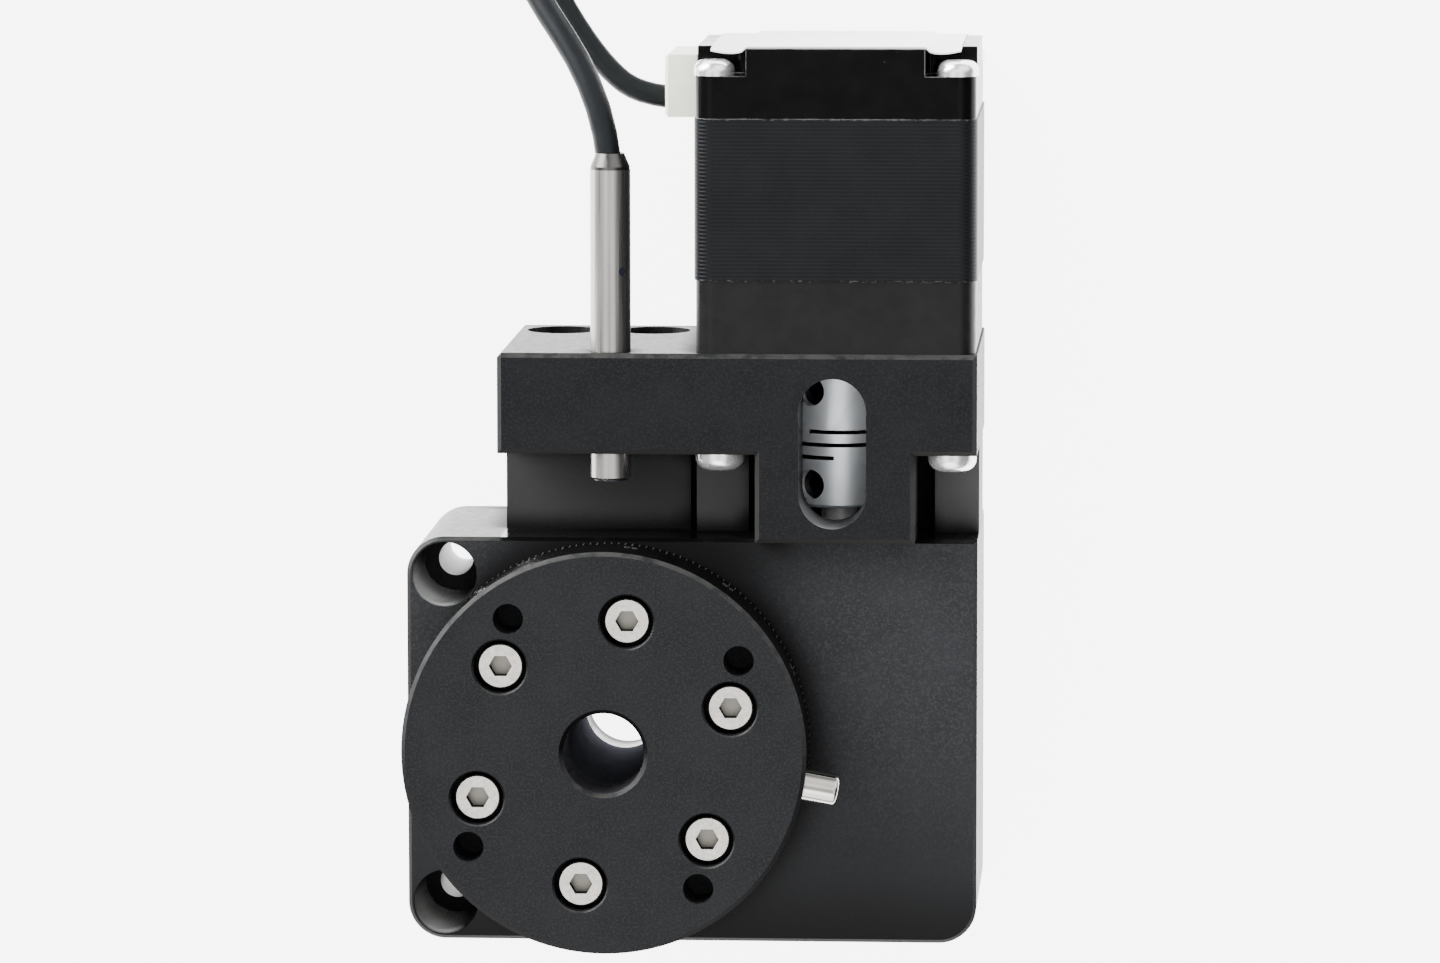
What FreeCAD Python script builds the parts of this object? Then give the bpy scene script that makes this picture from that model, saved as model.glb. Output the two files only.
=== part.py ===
import FreeCAD, Part
import math
import os

# Stepper indexing table: a worm-driven round table, its stepper motor and its home sensor.
# Frame: the table turns about +Z, z = 0 is the mounting face, and the motor lies towards +Y. Millimetres.

Vector = FreeCAD.Vector
X_AXIS = Vector(1, 0, 0)
Y_AXIS = Vector(0, 1, 0)
Z_AXIS = Vector(0, 0, 1)
ORIGIN = Vector(0, 0, 0)

# Screws: thread radius by size, clearance holes, and heads, a pan head by its radius and height
M2_R = 1.0
M25_R = 1.25
M3_R = 1.5
M2_CLEAR_R = 1.1
M25_CLEAR_R = 1.4
M2_PAN_HEAD = (2.05, 1.55)
M25_PAN_HEAD = (2.4, 1.7)
M3_CLEAR_R = 1.7
M3_HEAD_R = 2.75

# Worm gearing
MODULE = 0.5
WHEEL_TEETH = 72
WORM_PITCH_R = 4.5
WHEEL_PITCH_R = MODULE * WHEEL_TEETH / 2
CENTRE_DISTANCE = WHEEL_PITCH_R + WORM_PITCH_R
AXIAL_PITCH = math.pi * MODULE
TOOTH_HALF = 0.21 * AXIAL_PITCH
FLANK_SLOPE = math.tan(math.radians(20))
WORM_TIP_R = WORM_PITCH_R + MODULE
WORM_ROOT_R = WORM_PITCH_R - 1.2 * MODULE
WHEEL_TIP_R = WHEEL_PITCH_R + 0.8 * MODULE
WHEEL_ROOT_R = WHEEL_PITCH_R - 1.4 * MODULE
WORM_TURNS = 12
WHEEL_WIDTH = 5.4

# Axis of motor, coupling and worm, along Y
MOTOR_X = CENTRE_DISTANCE
MOTOR_Z = 14.1

# Body
BODY_LEFT = -20.25
BODY_RIGHT = 36.5
BODY_HALF = 20.25
BODY_TOP = 25.0
BODY_CORNER_R = 3.75
BODY_CHAMFER = 0.35
MOUNT_INSET = 3.75
MOUNT_HOLE_R = 1.75
MOUNT_SINK_R = 3.25
MOUNT_SINK_Z = 12.5

# Spindle, its bearings and the covers around them, heights above the mounting face
BORE_R = 4.0
COVER_R = 14.5
COVER_TOP = 4.5
COVER_SCREW_RING = 12.3
COVER_SCREW_SINK_R = 2.0
NECK_R = 9.0
NECK_HOLE_R = 9.25
COLLAR_R = 14.0
COLLAR = 0.4
SPINDLE_NUT_R = 8.7
SPINDLE_FOOT = 4.8
LOWER_SEAT = 6.3
LOWER_TOP = 10.3
CAVITY_FLOOR = 11.1
CAVITY_R = WHEEL_TIP_R + 0.4
WHEEL_BORE_R = 11.0
WHEEL_BOTTOM = MOTOR_Z - WHEEL_WIDTH / 2
WHEEL_TOP = MOTOR_Z + WHEEL_WIDTH / 2
UPPER_SEAT = 17.3
UPPER_TOP = 24.3
UPPER_FLANGE = 1.2
UPPER_FLANGE_R = 19.2
SPINDLE_HEAD_R = 15.5
SPINDLE_TOP = 28.4

# Bearings: bore, outside and width
UPPER_BEARING = (12.5, 18.5, UPPER_TOP - UPPER_SEAT)
LOWER_BEARING = (7.5, 10.5, LOWER_TOP - LOWER_SEAT)
WORM_BEARING = (2.0, 5.5, 4.0)
MOTOR_BEARING = (2.5, 5.5, 4.0)

# Table disc
DISC_R = 20.0
DISC_BOTTOM = 26.0
DISC_TOP = 34.2
DISC_CHAMFER = 0.4
BORE_CHAMFER = 0.4
SCREW_RING = 13.3
SCREW_FIRST_ANGLE = 20
SCREW_COUNT = 6
HEAD_SINK_R = 2.65
HEAD_SEAT_Z = 30.8
TAPPED_RING = 16.3
TAPPED_FIRST_ANGLE = 35
TAPPED_COUNT = 4
TAPPED_R = 1.5
TAPPED_FLOOR = 28.7
PIN_R = 1.65
PIN_ROUND = 0.5
PIN_ANGLE = -10
PIN_Z = 30.2
PIN_INNER = 16.0
PIN_OUTER = 23.4

# Worm shaft, along Y
WORM_BORE_R = 5.5
WORM_BORE_FLOOR = -17.6
WORM_SHOULDER_R = 2.9
WORM_UPPER_SEAT = 13.0
WORM_END = 27.3
WORM_NUT_TOP = 19.6

# Bracket: plate, legs and tongue
BRACKET_LEFT = -10.9
BRACKET_RIGHT = BODY_RIGHT
BRACKET_FRONT = 28.4
PLATE_BOTTOM = 29.0
PLATE_TOP = 39.0
BRACKET_CHAMFER = 0.45
LEG_FRONT = 17.5
LEG_RIGHT = 7.6
TONGUE_HALF = 7.9
WEB_BACK = 5.6
WEB_FRONT = 15.5
BOSS_FRONT = 19.0
COUPLING_BORE_R = 6.75
PILOT_R = 11.0
PILOT_DEPTH = 2.0
WINDOW_X = MOTOR_X - 0.25
WINDOW_HALF = 3.35
WINDOW_LOW = 21.7
WINDOW_HIGH = 36.6
BRACKET_SEAT = 26.5
# Screws through the bracket: x, z and the radius of the well for the head
BRACKET_SCREWS = [(-6.15, 5.2, 3.65), (3.15, 5.2, 3.65), (17.8, 3.7, 3.0), (27.2, 3.7, 3.0)]

# Coupling, along Y
COUPLING_R = 5.0
COUPLING_LOW = 22.6
COUPLING_HIGH = 36.6
COUPLING_MIDDLE = (COUPLING_LOW + COUPLING_HIGH) / 2
SLIT = 0.4
SLIT_STEP = 1.3
SLIT_BRIDGE = 2.0
SET_SCREW_TURN = 35
SET_SCREW_INSET = 2.3

# Motor, along Y from its mounting face
MOTOR_HALF = 13.8
STATOR_HALF = 13.95
MOTOR_CORNER_R = 1.8
STATOR_LOW = 46.2
CAP_LOW = 62.1
MOTOR_END = 69.05
MOUNT_SCREW_HALF = 11.5
CASE_SCREW_HALF = 12.0
ROTOR_R = 7.0
STATOR_BORE_R = 7.3
WINDING_R = 9.6
CORNER_POCKET = 5.0
CORNER_POCKET_DEPTH = 2.7
LABEL_HALF_X = 12.3
LABEL_HALF_Z = 12.8
LABEL_THICK = 0.15

# Motor plug on the left of the end cap
PLUG_LEFT = 5.3
PLUG_RIGHT = 8.5
PLUG_LOW = 61.8
PLUG_HIGH = 68.0
PLUG_HALF_Z = 6.6
PLUG_CORD_Y = 63.2

# Home sensor, along Y
SENSOR_X = 0.2
SENSOR_Z = 25.6
SENSOR_R = 2.0
SENSOR_WALL = 0.3
SENSOR_TIP = 26.3
SENSOR_GRIP_Y = 34.0
SENSOR_SHOULDER = 57.0
SENSOR_CORE_END = 55.2
CRIMP_END = 58.6
LED_Y = 47.0
LED_TURN = 42
LED_R = 0.45

# Cords: diameter, route, and the coil of the length that is put away
MOTOR_CORD_D = 2.3
SENSOR_CORD_D = 2.5
TIE_THICK = 0.6
TIE_WIDTH = 2.5
CONNECTOR = (7.0, 7.0, 5.0)
BOOT = 2.5
MOTOR_TIE_ANGLE = 300
SENSOR_TIE_ANGLE = 100
MOTOR_COIL = {"centre": (5.1, 92.2), "radius": 12.0, "columns": 3, "layers": 3}
SENSOR_COIL = {"centre": (-31.6, 94.5), "radius": 14.2, "columns": 3, "layers": 4}
MOTOR_CORD_ROUTE = [
    (8.3, PLUG_CORD_Y, MOTOR_Z),
    (3.0, PLUG_CORD_Y, MOTOR_Z),
    (-1.4, 66.2, 12.9),
    (-7.0, 74.4, 10.4),
    (-10.2, 83.5, 8.3),
    (-9.2, 93.2, TIE_THICK + 2.5 * MOTOR_CORD_D),
]
SENSOR_CORD_ROUTE = [
    (SENSOR_X, SENSOR_CORE_END, SENSOR_Z),
    (SENSOR_X, 63.3, SENSOR_Z),
    (-9.8, 76.8, 18.4),
    (-13.4, 88.0, 12.2),
    (-15.5, 98.8, TIE_THICK + 3.5 * SENSOR_CORD_D),
]


# Helpers

def box(x0, x1, y0, y1, z0, z1):
    return Part.makeBox(x1 - x0, y1 - y0, z1 - z0, Vector(x0, y0, z0))


def rod(radius, start, end):
    """Cylinder between two points."""
    start = Vector(*start)
    along = Vector(*end) - start
    return Part.makeCylinder(radius, along.Length, start, along)


def turned(profile):
    """Solid turned about Z from (radius, height) points."""
    points = [Vector(radius, 0, height) for radius, height in profile]
    face = Part.Face(Part.makePolygon(points + points[:1]))
    return face.revolve(ORIGIN, Z_AXIS, 360)


def ring(inner, outer, low, high):
    return turned([(inner, low), (outer, low), (outer, high), (inner, high)])


def on_motor_axis(shape):
    """Moves a solid made about Z onto the motor's axis, so that its height becomes Y."""
    moved = shape.copy()
    moved.rotate(ORIGIN, X_AXIS, -90)
    moved.translate(Vector(MOTOR_X, 0, MOTOR_Z))
    return moved


def on_sensor_axis(shape):
    moved = shape.copy()
    moved.rotate(ORIGIN, X_AXIS, -90)
    moved.translate(Vector(SENSOR_X, 0, SENSOR_Z))
    return moved


def around(radius, first_angle, count):
    """Points evenly spaced on a circle about the table's axis."""
    angles = [math.radians(first_angle + 360 * k / count) for k in range(count)]
    return [(radius * math.cos(a), radius * math.sin(a)) for a in angles]


def edges_where(shape, test):
    return [e for e in shape.Edges if all(test(v.Point) for v in e.Vertexes)]


def near(a, b):
    return abs(a - b) < 1e-6


def motor_corners(half):
    """The four corner positions, in X and Z, of screws on a square about the motor's axis."""
    signs = [(-1, -1), (-1, 1), (1, -1), (1, 1)]
    return [(MOTOR_X + i * half, MOTOR_Z + k * half) for i, k in signs]


def hex_socket(across_flats, low, high):
    corner = across_flats / math.sqrt(3)
    angles = [math.radians(60 * k) for k in range(6)]
    points = [Vector(corner * math.cos(a), corner * math.sin(a), low) for a in angles]
    face = Part.Face(Part.makePolygon(points + points[:1]))
    return face.extrude(Vector(0, 0, high - low))


def cap_screw(thread_r, head_r, head_height, length, key):
    """Socket cap screw along Z, its head sitting on z = 0 and its point below."""
    chamfer = 0.2
    edge = 0.1
    profile = [
        (0, -length),
        (thread_r - chamfer, -length),
        (thread_r, -length + chamfer),
        (thread_r, 0),
        (head_r, 0),
        (head_r, head_height - edge),
        (head_r - edge, head_height),
        (0, head_height),
    ]
    return turned(profile).cut(hex_socket(key, head_height * 0.45, head_height))


def pan_screw(thread_r, head, length):
    """Cross-recessed screw along Z, its domed head sitting on z = 0 and its point below."""
    head_r, head_height = head
    dome = rod(head_r, (0, 0, 0), (0, 0, head_height))
    dome = dome.makeFillet(head_height * 0.7, edges_where(dome, lambda p: near(p.z, head_height)))
    screw = dome.fuse(rod(thread_r, (0, 0, -length), (0, 0, 0))).removeSplitter()
    arm = head_r * 0.55
    width = head_r * 0.1
    floor = head_height * 0.5
    recess = box(-arm, arm, -width, width, floor, head_height)
    recess = recess.fuse(box(-width, width, -arm, arm, floor, head_height)).removeSplitter()
    return screw.cut(recess)


def set_screw(radius, length, key):
    """Socket set screw along Z from z = 0 to its socket end at z = length."""
    chamfer = 0.2
    profile = [
        (0, 0),
        (radius - chamfer, 0),
        (radius, chamfer),
        (radius, length),
        (0, length),
    ]
    return turned(profile).cut(hex_socket(key, length * 0.5, length))


def moved_to(shape, place, rotation_axis=X_AXIS, degrees=0):
    copy = shape.copy()
    copy.rotate(ORIGIN, rotation_axis, degrees)
    copy.translate(Vector(*place))
    return copy


# Bearings

def bearing_inner(bearing, low):
    """Plain inner ring."""
    bore, outside, width = bearing
    wall = (outside - bore) * 0.27
    return ring(bore, bore + wall, low, low + width)


def bearing_outer(bearing, low, flange=0, flange_r=0):
    """Outer ring with both shields, which stop short of the inner ring, and a top flange if it has one."""
    bore, outside, width = bearing
    wall = (outside - bore) * 0.27
    clear = 0.3
    shield_in = bore + wall + clear
    shield_low = 0.25
    shield_high = 0.55
    corner = 0.3
    top_r = flange_r if flange else outside
    profile = [
        (outside - corner, low),
        (outside, low + corner),
        (outside, low + width - flange),
        (top_r, low + width - flange),
        (top_r, low + width),
        (outside - wall, low + width),
        (outside - wall, low + width - shield_low),
        (shield_in, low + width - shield_low),
        (shield_in, low + width - shield_high),
        (outside - wall, low + width - shield_high),
        (outside - wall, low + shield_high),
        (shield_in, low + shield_high),
        (shield_in, low + shield_low),
        (outside - wall, low + shield_low),
        (outside - wall, low),
    ]
    if not flange:
        profile.pop(3)
    return turned(profile)


# Body and the covers in it

def body_housing():
    body = box(BODY_LEFT, BODY_RIGHT, -BODY_HALF, BODY_HALF, 0, BODY_TOP)
    corners = [(BODY_LEFT, BODY_HALF), (BODY_LEFT, -BODY_HALF), (BODY_RIGHT, -BODY_HALF)]
    for x, y in corners:
        upright = edges_where(body, lambda p: near(p.x, x) and near(p.y, y))
        body = body.makeFillet(BODY_CORNER_R, upright)
    body = body.makeChamfer(BODY_CHAMFER, edges_where(body, lambda p: near(p.z, BODY_TOP)))
    hollow = [
        rod(COVER_R, (0, 0, 0), (0, 0, COVER_TOP)),
        rod(LOWER_BEARING[1], (0, 0, 0), (0, 0, LOWER_TOP)),
        rod(NECK_HOLE_R, (0, 0, 0), (0, 0, BODY_TOP)),
        rod(CAVITY_R, (0, 0, CAVITY_FLOOR), (0, 0, UPPER_SEAT)),
        rod(UPPER_BEARING[1], (0, 0, UPPER_SEAT), (0, 0, BODY_TOP)),
        rod(UPPER_FLANGE_R + 0.1, (0, 0, UPPER_TOP - UPPER_FLANGE), (0, 0, BODY_TOP)),
        rod(WORM_BORE_R, (MOTOR_X, WORM_BORE_FLOOR, MOTOR_Z), (MOTOR_X, BODY_HALF, MOTOR_Z)),
        rod(WORM_BORE_R - 1.5, (MOTOR_X, WORM_BORE_FLOOR - 0.8, MOTOR_Z), (MOTOR_X, 0, MOTOR_Z)),
    ]
    for y in (BODY_HALF - MOUNT_INSET, MOUNT_INSET - BODY_HALF):
        x = BODY_LEFT + MOUNT_INSET
        hollow.append(rod(MOUNT_HOLE_R, (x, y, 0), (x, y, BODY_TOP)))
        hollow.append(rod(MOUNT_SINK_R, (x, y, MOUNT_SINK_Z), (x, y, BODY_TOP)))
    for x, y in around(COVER_SCREW_RING, 45, 4):
        hollow.append(rod(M2_R, (x, y, COVER_TOP), (x, y, COVER_TOP + 4)))
    for x, z, _ in BRACKET_SCREWS:
        hollow.append(rod(M3_R, (x, BODY_HALF - 5.5, z), (x, BODY_HALF, z)))
    return body.cut(hollow)


def back_cover():
    cover = turned([
        (BORE_R, 0),
        (COVER_R - 0.05, 0),
        (COVER_R - 0.05, COVER_TOP),
        (BORE_R, COVER_TOP),
    ])
    sink = turned([
        (0, 0),
        (COVER_SCREW_SINK_R, 0),
        (M2_CLEAR_R, COVER_SCREW_SINK_R - M2_CLEAR_R),
        (M2_CLEAR_R, COVER_TOP),
        (0, COVER_TOP),
    ])
    holes = [moved_to(sink, (x, y, 0)) for x, y in around(COVER_SCREW_RING, 45, 4)]
    return cover.cut(holes)


def back_cover_screws():
    """Countersunk screws, their heads just inside the mounting face."""
    sunk = 0.1
    head_r = COVER_SCREW_SINK_R - 0.15
    head_end = sunk + head_r - M2_R
    point = COVER_TOP + 3
    screw = turned([(0, sunk), (head_r, sunk), (M2_R, head_end), (M2_R, point), (0, point)])
    screw = screw.cut(hex_socket(1.3, sunk, 0.8))
    return [moved_to(screw, (x, y, 0)) for x, y in around(COVER_SCREW_RING, 45, 4)]


def worm_bearing_nut():
    nut = ring(3.4, WORM_BORE_R, WORM_UPPER_SEAT + WORM_BEARING[2], WORM_NUT_TOP)
    slot = box(-WORM_BORE_R, WORM_BORE_R, -0.6, 0.6, WORM_NUT_TOP - 0.9, WORM_NUT_TOP)
    return on_motor_axis(nut.cut(slot))


def worm_bearing_pair(maker):
    lows = (WORM_BORE_FLOOR, WORM_UPPER_SEAT)
    return [on_motor_axis(maker(WORM_BEARING, low)) for low in lows]


# Spindle and table

def spindle_hub():
    hub = turned([
        (BORE_R, SPINDLE_FOOT),
        (LOWER_BEARING[0], SPINDLE_FOOT),
        (LOWER_BEARING[0], LOWER_TOP),
        (NECK_R, LOWER_TOP),
        (NECK_R, WHEEL_BOTTOM),
        (WHEEL_BORE_R, WHEEL_BOTTOM),
        (WHEEL_BORE_R, WHEEL_TOP),
        (UPPER_BEARING[0], WHEEL_TOP),
        (UPPER_BEARING[0], UPPER_TOP),
        (COLLAR_R, UPPER_TOP),
        (COLLAR_R, UPPER_TOP + COLLAR),
        (SPINDLE_HEAD_R, UPPER_TOP + COLLAR),
        (SPINDLE_HEAD_R, SPINDLE_TOP),
        (BORE_R, SPINDLE_TOP),
    ])
    threads = []
    for x, y in around(SCREW_RING, SCREW_FIRST_ANGLE, SCREW_COUNT):
        threads.append(rod(M25_R, (x, y, UPPER_TOP + 0.9), (x, y, SPINDLE_TOP)))
    return hub.cut(threads)


def spindle_nut():
    """Slotted ring nut below the lower bearing."""
    nut = ring(LOWER_BEARING[0], SPINDLE_NUT_R, SPINDLE_FOOT, LOWER_SEAT)
    slot = box(-SPINDLE_NUT_R, SPINDLE_NUT_R, -1.0, 1.0, SPINDLE_FOOT, SPINDLE_FOOT + 0.8)
    return nut.cut([slot, moved_to(slot, (0, 0, 0), Z_AXIS, 90)])


def wheel_outline(turn, z):
    """Closed toothed outline of the wheel at height z, turned by an angle, with a tooth at angle zero."""
    root_half = TOOTH_HALF + (WHEEL_PITCH_R - WHEEL_ROOT_R) * FLANK_SLOPE
    tip_half = TOOTH_HALF - (WHEEL_TIP_R - WHEEL_PITCH_R) * FLANK_SLOPE
    corners = [
        (WHEEL_ROOT_R, -root_half),
        (WHEEL_TIP_R, -tip_half),
        (WHEEL_TIP_R, tip_half),
        (WHEEL_ROOT_R, root_half),
    ]
    points = []
    for k in range(WHEEL_TEETH):
        middle = turn + 2 * math.pi * k / WHEEL_TEETH
        for radius, half in corners:
            angle = middle + half / radius
            points.append(Vector(radius * math.cos(angle), radius * math.sin(angle), z))
    return Part.makePolygon(points + points[:1])


def worm_wheel():
    """Wheel whose teeth lean by the worm's lead angle."""
    lead_slope = AXIAL_PITCH / (2 * math.pi * WORM_PITCH_R)
    lean = lead_slope * WHEEL_WIDTH / 2 / WHEEL_PITCH_R
    low = wheel_outline(-lean, WHEEL_BOTTOM)
    high = wheel_outline(lean, WHEEL_TOP)
    blank = Part.makeLoft([low, high], True, True)
    return blank.cut(rod(WHEEL_BORE_R, (0, 0, 0), (0, 0, BODY_TOP)))


def table_disc():
    disc = turned([
        (SPINDLE_HEAD_R, DISC_BOTTOM),
        (DISC_R - 0.3, DISC_BOTTOM),
        (DISC_R, DISC_BOTTOM + 0.3),
        (DISC_R, DISC_TOP - DISC_CHAMFER),
        (DISC_R - DISC_CHAMFER, DISC_TOP),
        (BORE_R + BORE_CHAMFER, DISC_TOP),
        (BORE_R, DISC_TOP - BORE_CHAMFER),
        (BORE_R, SPINDLE_TOP),
        (SPINDLE_HEAD_R, SPINDLE_TOP),
    ])
    holes = []
    for x, y in around(SCREW_RING, SCREW_FIRST_ANGLE, SCREW_COUNT):
        sink = turned([
            (0, SPINDLE_TOP),
            (M25_CLEAR_R, SPINDLE_TOP),
            (M25_CLEAR_R, HEAD_SEAT_Z),
            (HEAD_SINK_R, HEAD_SEAT_Z),
            (HEAD_SINK_R, DISC_TOP - 0.15),
            (HEAD_SINK_R + 0.15, DISC_TOP),
            (0, DISC_TOP),
        ])
        holes.append(moved_to(sink, (x, y, 0)))
    for x, y in around(TAPPED_RING, TAPPED_FIRST_ANGLE, TAPPED_COUNT):
        holes.append(rod(TAPPED_R, (x, y, TAPPED_FLOOR), (x, y, DISC_TOP)))
    inner = around(PIN_INNER, PIN_ANGLE, 1)[0]
    outer = around(DISC_R + 1, PIN_ANGLE, 1)[0]
    holes.append(rod(PIN_R, (*inner, PIN_Z), (*outer, PIN_Z)))
    return disc.cut(holes)


def table_screws():
    screw = cap_screw(M25_R, 2.2, 2.5, HEAD_SEAT_Z - UPPER_TOP - 1.3, 2.0)
    places = around(SCREW_RING, SCREW_FIRST_ANGLE, SCREW_COUNT)
    return [moved_to(screw, (x, y, HEAD_SEAT_Z)) for x, y in places]


def home_pin():
    """Dowel with a rounded outer end."""
    length = PIN_OUTER - PIN_INNER
    pin = rod(PIN_R, (0, 0, 0), (0, 0, length))
    pin = pin.makeFillet(PIN_ROUND, edges_where(pin, lambda p: near(p.z, length)))
    pin.rotate(ORIGIN, Y_AXIS, 90)
    pin.translate(Vector(PIN_INNER, 0, PIN_Z))
    pin.rotate(ORIGIN, Z_AXIS, PIN_ANGLE)
    return pin


# Worm, coupling and motor shaft

def worm_shaft():
    """Shaft with a right-hand thread, a groove of which faces the wheel's tooth at angle zero."""
    half = WORM_TURNS / 2 * AXIAL_PITCH
    buried = 0.3
    root_half = TOOTH_HALF + (WORM_PITCH_R - WORM_ROOT_R + buried) * FLANK_SLOPE
    tip_half = TOOTH_HALF - (WORM_TIP_R - WORM_PITCH_R) * FLANK_SLOPE
    section = [
        Vector(WORM_ROOT_R - buried, 0, -root_half),
        Vector(WORM_TIP_R, 0, -tip_half),
        Vector(WORM_TIP_R, 0, tip_half),
        Vector(WORM_ROOT_R - buried, 0, root_half),
    ]
    helix = Part.makeHelix(AXIAL_PITCH, 2 * half, WORM_PITCH_R)
    thread = Part.Wire(helix.Edges).makePipeShell([Part.makePolygon(section + section[:1])], True, True)
    thread.translate(Vector(0, 0, -half))
    core = turned([
        (0, WORM_BORE_FLOOR + 0.2),
        (WORM_BEARING[0], WORM_BORE_FLOOR + 0.2),
        (WORM_BEARING[0], WORM_BORE_FLOOR + WORM_BEARING[2]),
        (WORM_SHOULDER_R, WORM_BORE_FLOOR + WORM_BEARING[2]),
        (WORM_SHOULDER_R, -half - 0.8),
        (WORM_ROOT_R, -half - 0.8),
        (WORM_ROOT_R, half + 0.8),
        (WORM_SHOULDER_R, half + 0.8),
        (WORM_SHOULDER_R, WORM_UPPER_SEAT),
        (WORM_BEARING[0], WORM_UPPER_SEAT),
        (WORM_BEARING[0], WORM_END),
        (0, WORM_END),
    ])
    return on_motor_axis(core.fuse(thread))


def set_screw_places():
    """Heights along Y of the coupling's two set screws."""
    return (COUPLING_LOW + SET_SCREW_INSET, COUPLING_HIGH - SET_SCREW_INSET)


def towards_set_screw(distance, y):
    """Point on a set screw's axis, at a distance from the motor's axis."""
    turn = math.radians(SET_SCREW_TURN)
    return (MOTOR_X - distance * math.sin(turn), y, MOTOR_Z + distance * math.cos(turn))


def shaft_coupling():
    """Slit coupling: two slits cut deep from either side and, outside them, two cut half way."""
    edge = 0.3
    sleeve = turned([
        (0, COUPLING_LOW),
        (COUPLING_R - edge, COUPLING_LOW),
        (COUPLING_R, COUPLING_LOW + edge),
        (COUPLING_R, COUPLING_HIGH - edge),
        (COUPLING_R - edge, COUPLING_HIGH),
        (0, COUPLING_HIGH),
    ])
    sleeve = on_motor_axis(sleeve)
    worm_side = ((MOTOR_X, COUPLING_LOW, MOTOR_Z), (MOTOR_X, COUPLING_MIDDLE, MOTOR_Z))
    motor_side = ((MOTOR_X, COUPLING_MIDDLE, MOTOR_Z), (MOTOR_X, COUPLING_HIGH, MOTOR_Z))
    cuts = [rod(WORM_BEARING[0], *worm_side), rod(MOTOR_BEARING[0], *motor_side)]
    reach = COUPLING_R + 1
    deep = COUPLING_R - SLIT_BRIDGE
    slits = [
        (-1.5, -reach, -0.5, -reach, reach),
        (-0.5, -reach, deep, -reach, reach),
        (0.5, -deep, reach, -reach, reach),
        (1.5, -reach, reach, -reach, 0),
    ]
    for step, left, right, back, front in slits:
        y = COUPLING_MIDDLE + step * SLIT_STEP
        slit = box(left, right, y - SLIT / 2, y + SLIT / 2, back, front)
        cuts.append(moved_to(slit, (MOTOR_X, 0, MOTOR_Z)))
    for y in set_screw_places():
        cuts.append(rod(M3_R, (MOTOR_X, y, MOTOR_Z), towards_set_screw(reach, y)))
    return sleeve.cut(cuts)


def coupling_set_screws():
    lengths = {set_screw_places()[0]: WORM_BEARING[0], set_screw_places()[1]: MOTOR_BEARING[0]}
    screws = []
    for y, shaft_r in lengths.items():
        screw = set_screw(M3_R, COUPLING_R - shaft_r - 0.9, 1.5)
        turned_screw = moved_to(screw, (0, 0, 0), Y_AXIS, -SET_SCREW_TURN)
        turned_screw.translate(Vector(*towards_set_screw(shaft_r, y)))
        screws.append(turned_screw.cut(rod(shaft_r, (MOTOR_X, y - 3, MOTOR_Z), (MOTOR_X, y + 3, MOTOR_Z))))
    return screws


MOTOR_BEARING_LOWS = (PLATE_TOP + 1.2, CAP_LOW + 2.0)


def motor_bearing_pair(maker):
    return [on_motor_axis(maker(MOTOR_BEARING, low)) for low in MOTOR_BEARING_LOWS]


def motor_shaft():
    low = COUPLING_MIDDLE + 2.3
    high = MOTOR_BEARING_LOWS[1] + MOTOR_BEARING[2] - 0.2
    return on_motor_axis(turned([
        (0, low),
        (MOTOR_BEARING[0] - 0.3, low),
        (MOTOR_BEARING[0], low + 0.3),
        (MOTOR_BEARING[0], high),
        (0, high),
    ]))


def motor_rotor():
    return on_motor_axis(ring(MOTOR_BEARING[0], ROTOR_R, STATOR_LOW + 1, CAP_LOW - 1))


# Motor case

def motor_block(half, low, high):
    block = box(MOTOR_X - half, MOTOR_X + half, low, high, MOTOR_Z - half, MOTOR_Z + half)
    along = [e for e in block.Edges if near(abs(e.tangentAt(e.FirstParameter).y), 1)]
    return block.makeFillet(MOTOR_CORNER_R, along)


def motor_holes(half, radius, low, high):
    return [rod(radius, (x, low, z), (x, high, z)) for x, z in motor_corners(half)]


def motor_flange():
    flange = motor_block(MOTOR_HALF, PLATE_TOP, STATOR_LOW)
    flange = flange.fuse(on_motor_axis(ring(3.0, PILOT_R, PLATE_TOP - PILOT_DEPTH, PLATE_TOP)))
    bearing_low = MOTOR_BEARING_LOWS[0]
    bearing_high = bearing_low + MOTOR_BEARING[2]
    hollow = on_motor_axis(turned([
        (0, PLATE_TOP - PILOT_DEPTH),
        (3.0, PLATE_TOP - PILOT_DEPTH),
        (3.0, bearing_low - 0.4),
        (4.4, bearing_low - 0.4),
        (4.4, bearing_low),
        (MOTOR_BEARING[1], bearing_low),
        (MOTOR_BEARING[1], bearing_high),
        (WINDING_R + 0.3, bearing_high),
        (WINDING_R + 0.3, STATOR_LOW),
        (0, STATOR_LOW),
    ]))
    mount_threads = motor_holes(MOUNT_SCREW_HALF, M25_R, PLATE_TOP, PLATE_TOP + 3)
    case_threads = motor_holes(CASE_SCREW_HALF, M2_R, PLATE_TOP + 3.6, STATOR_LOW)
    return flange.cut([hollow] + mount_threads + case_threads)


def stator_stack():
    stack = motor_block(STATOR_HALF, STATOR_LOW, CAP_LOW)
    bore = rod(STATOR_BORE_R, (MOTOR_X, STATOR_LOW, MOTOR_Z), (MOTOR_X, CAP_LOW, MOTOR_Z))
    return stack.cut([bore] + motor_holes(CASE_SCREW_HALF, M2_CLEAR_R, STATOR_LOW, CAP_LOW))


def stator_windings():
    """End turns of the windings at both ends of the stack."""
    spans = ((STATOR_LOW - 1.7, STATOR_LOW), (CAP_LOW, CAP_LOW + 1.7))
    return [on_motor_axis(ring(STATOR_BORE_R + 0.3, WINDING_R, low, high)) for low, high in spans]


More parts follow.
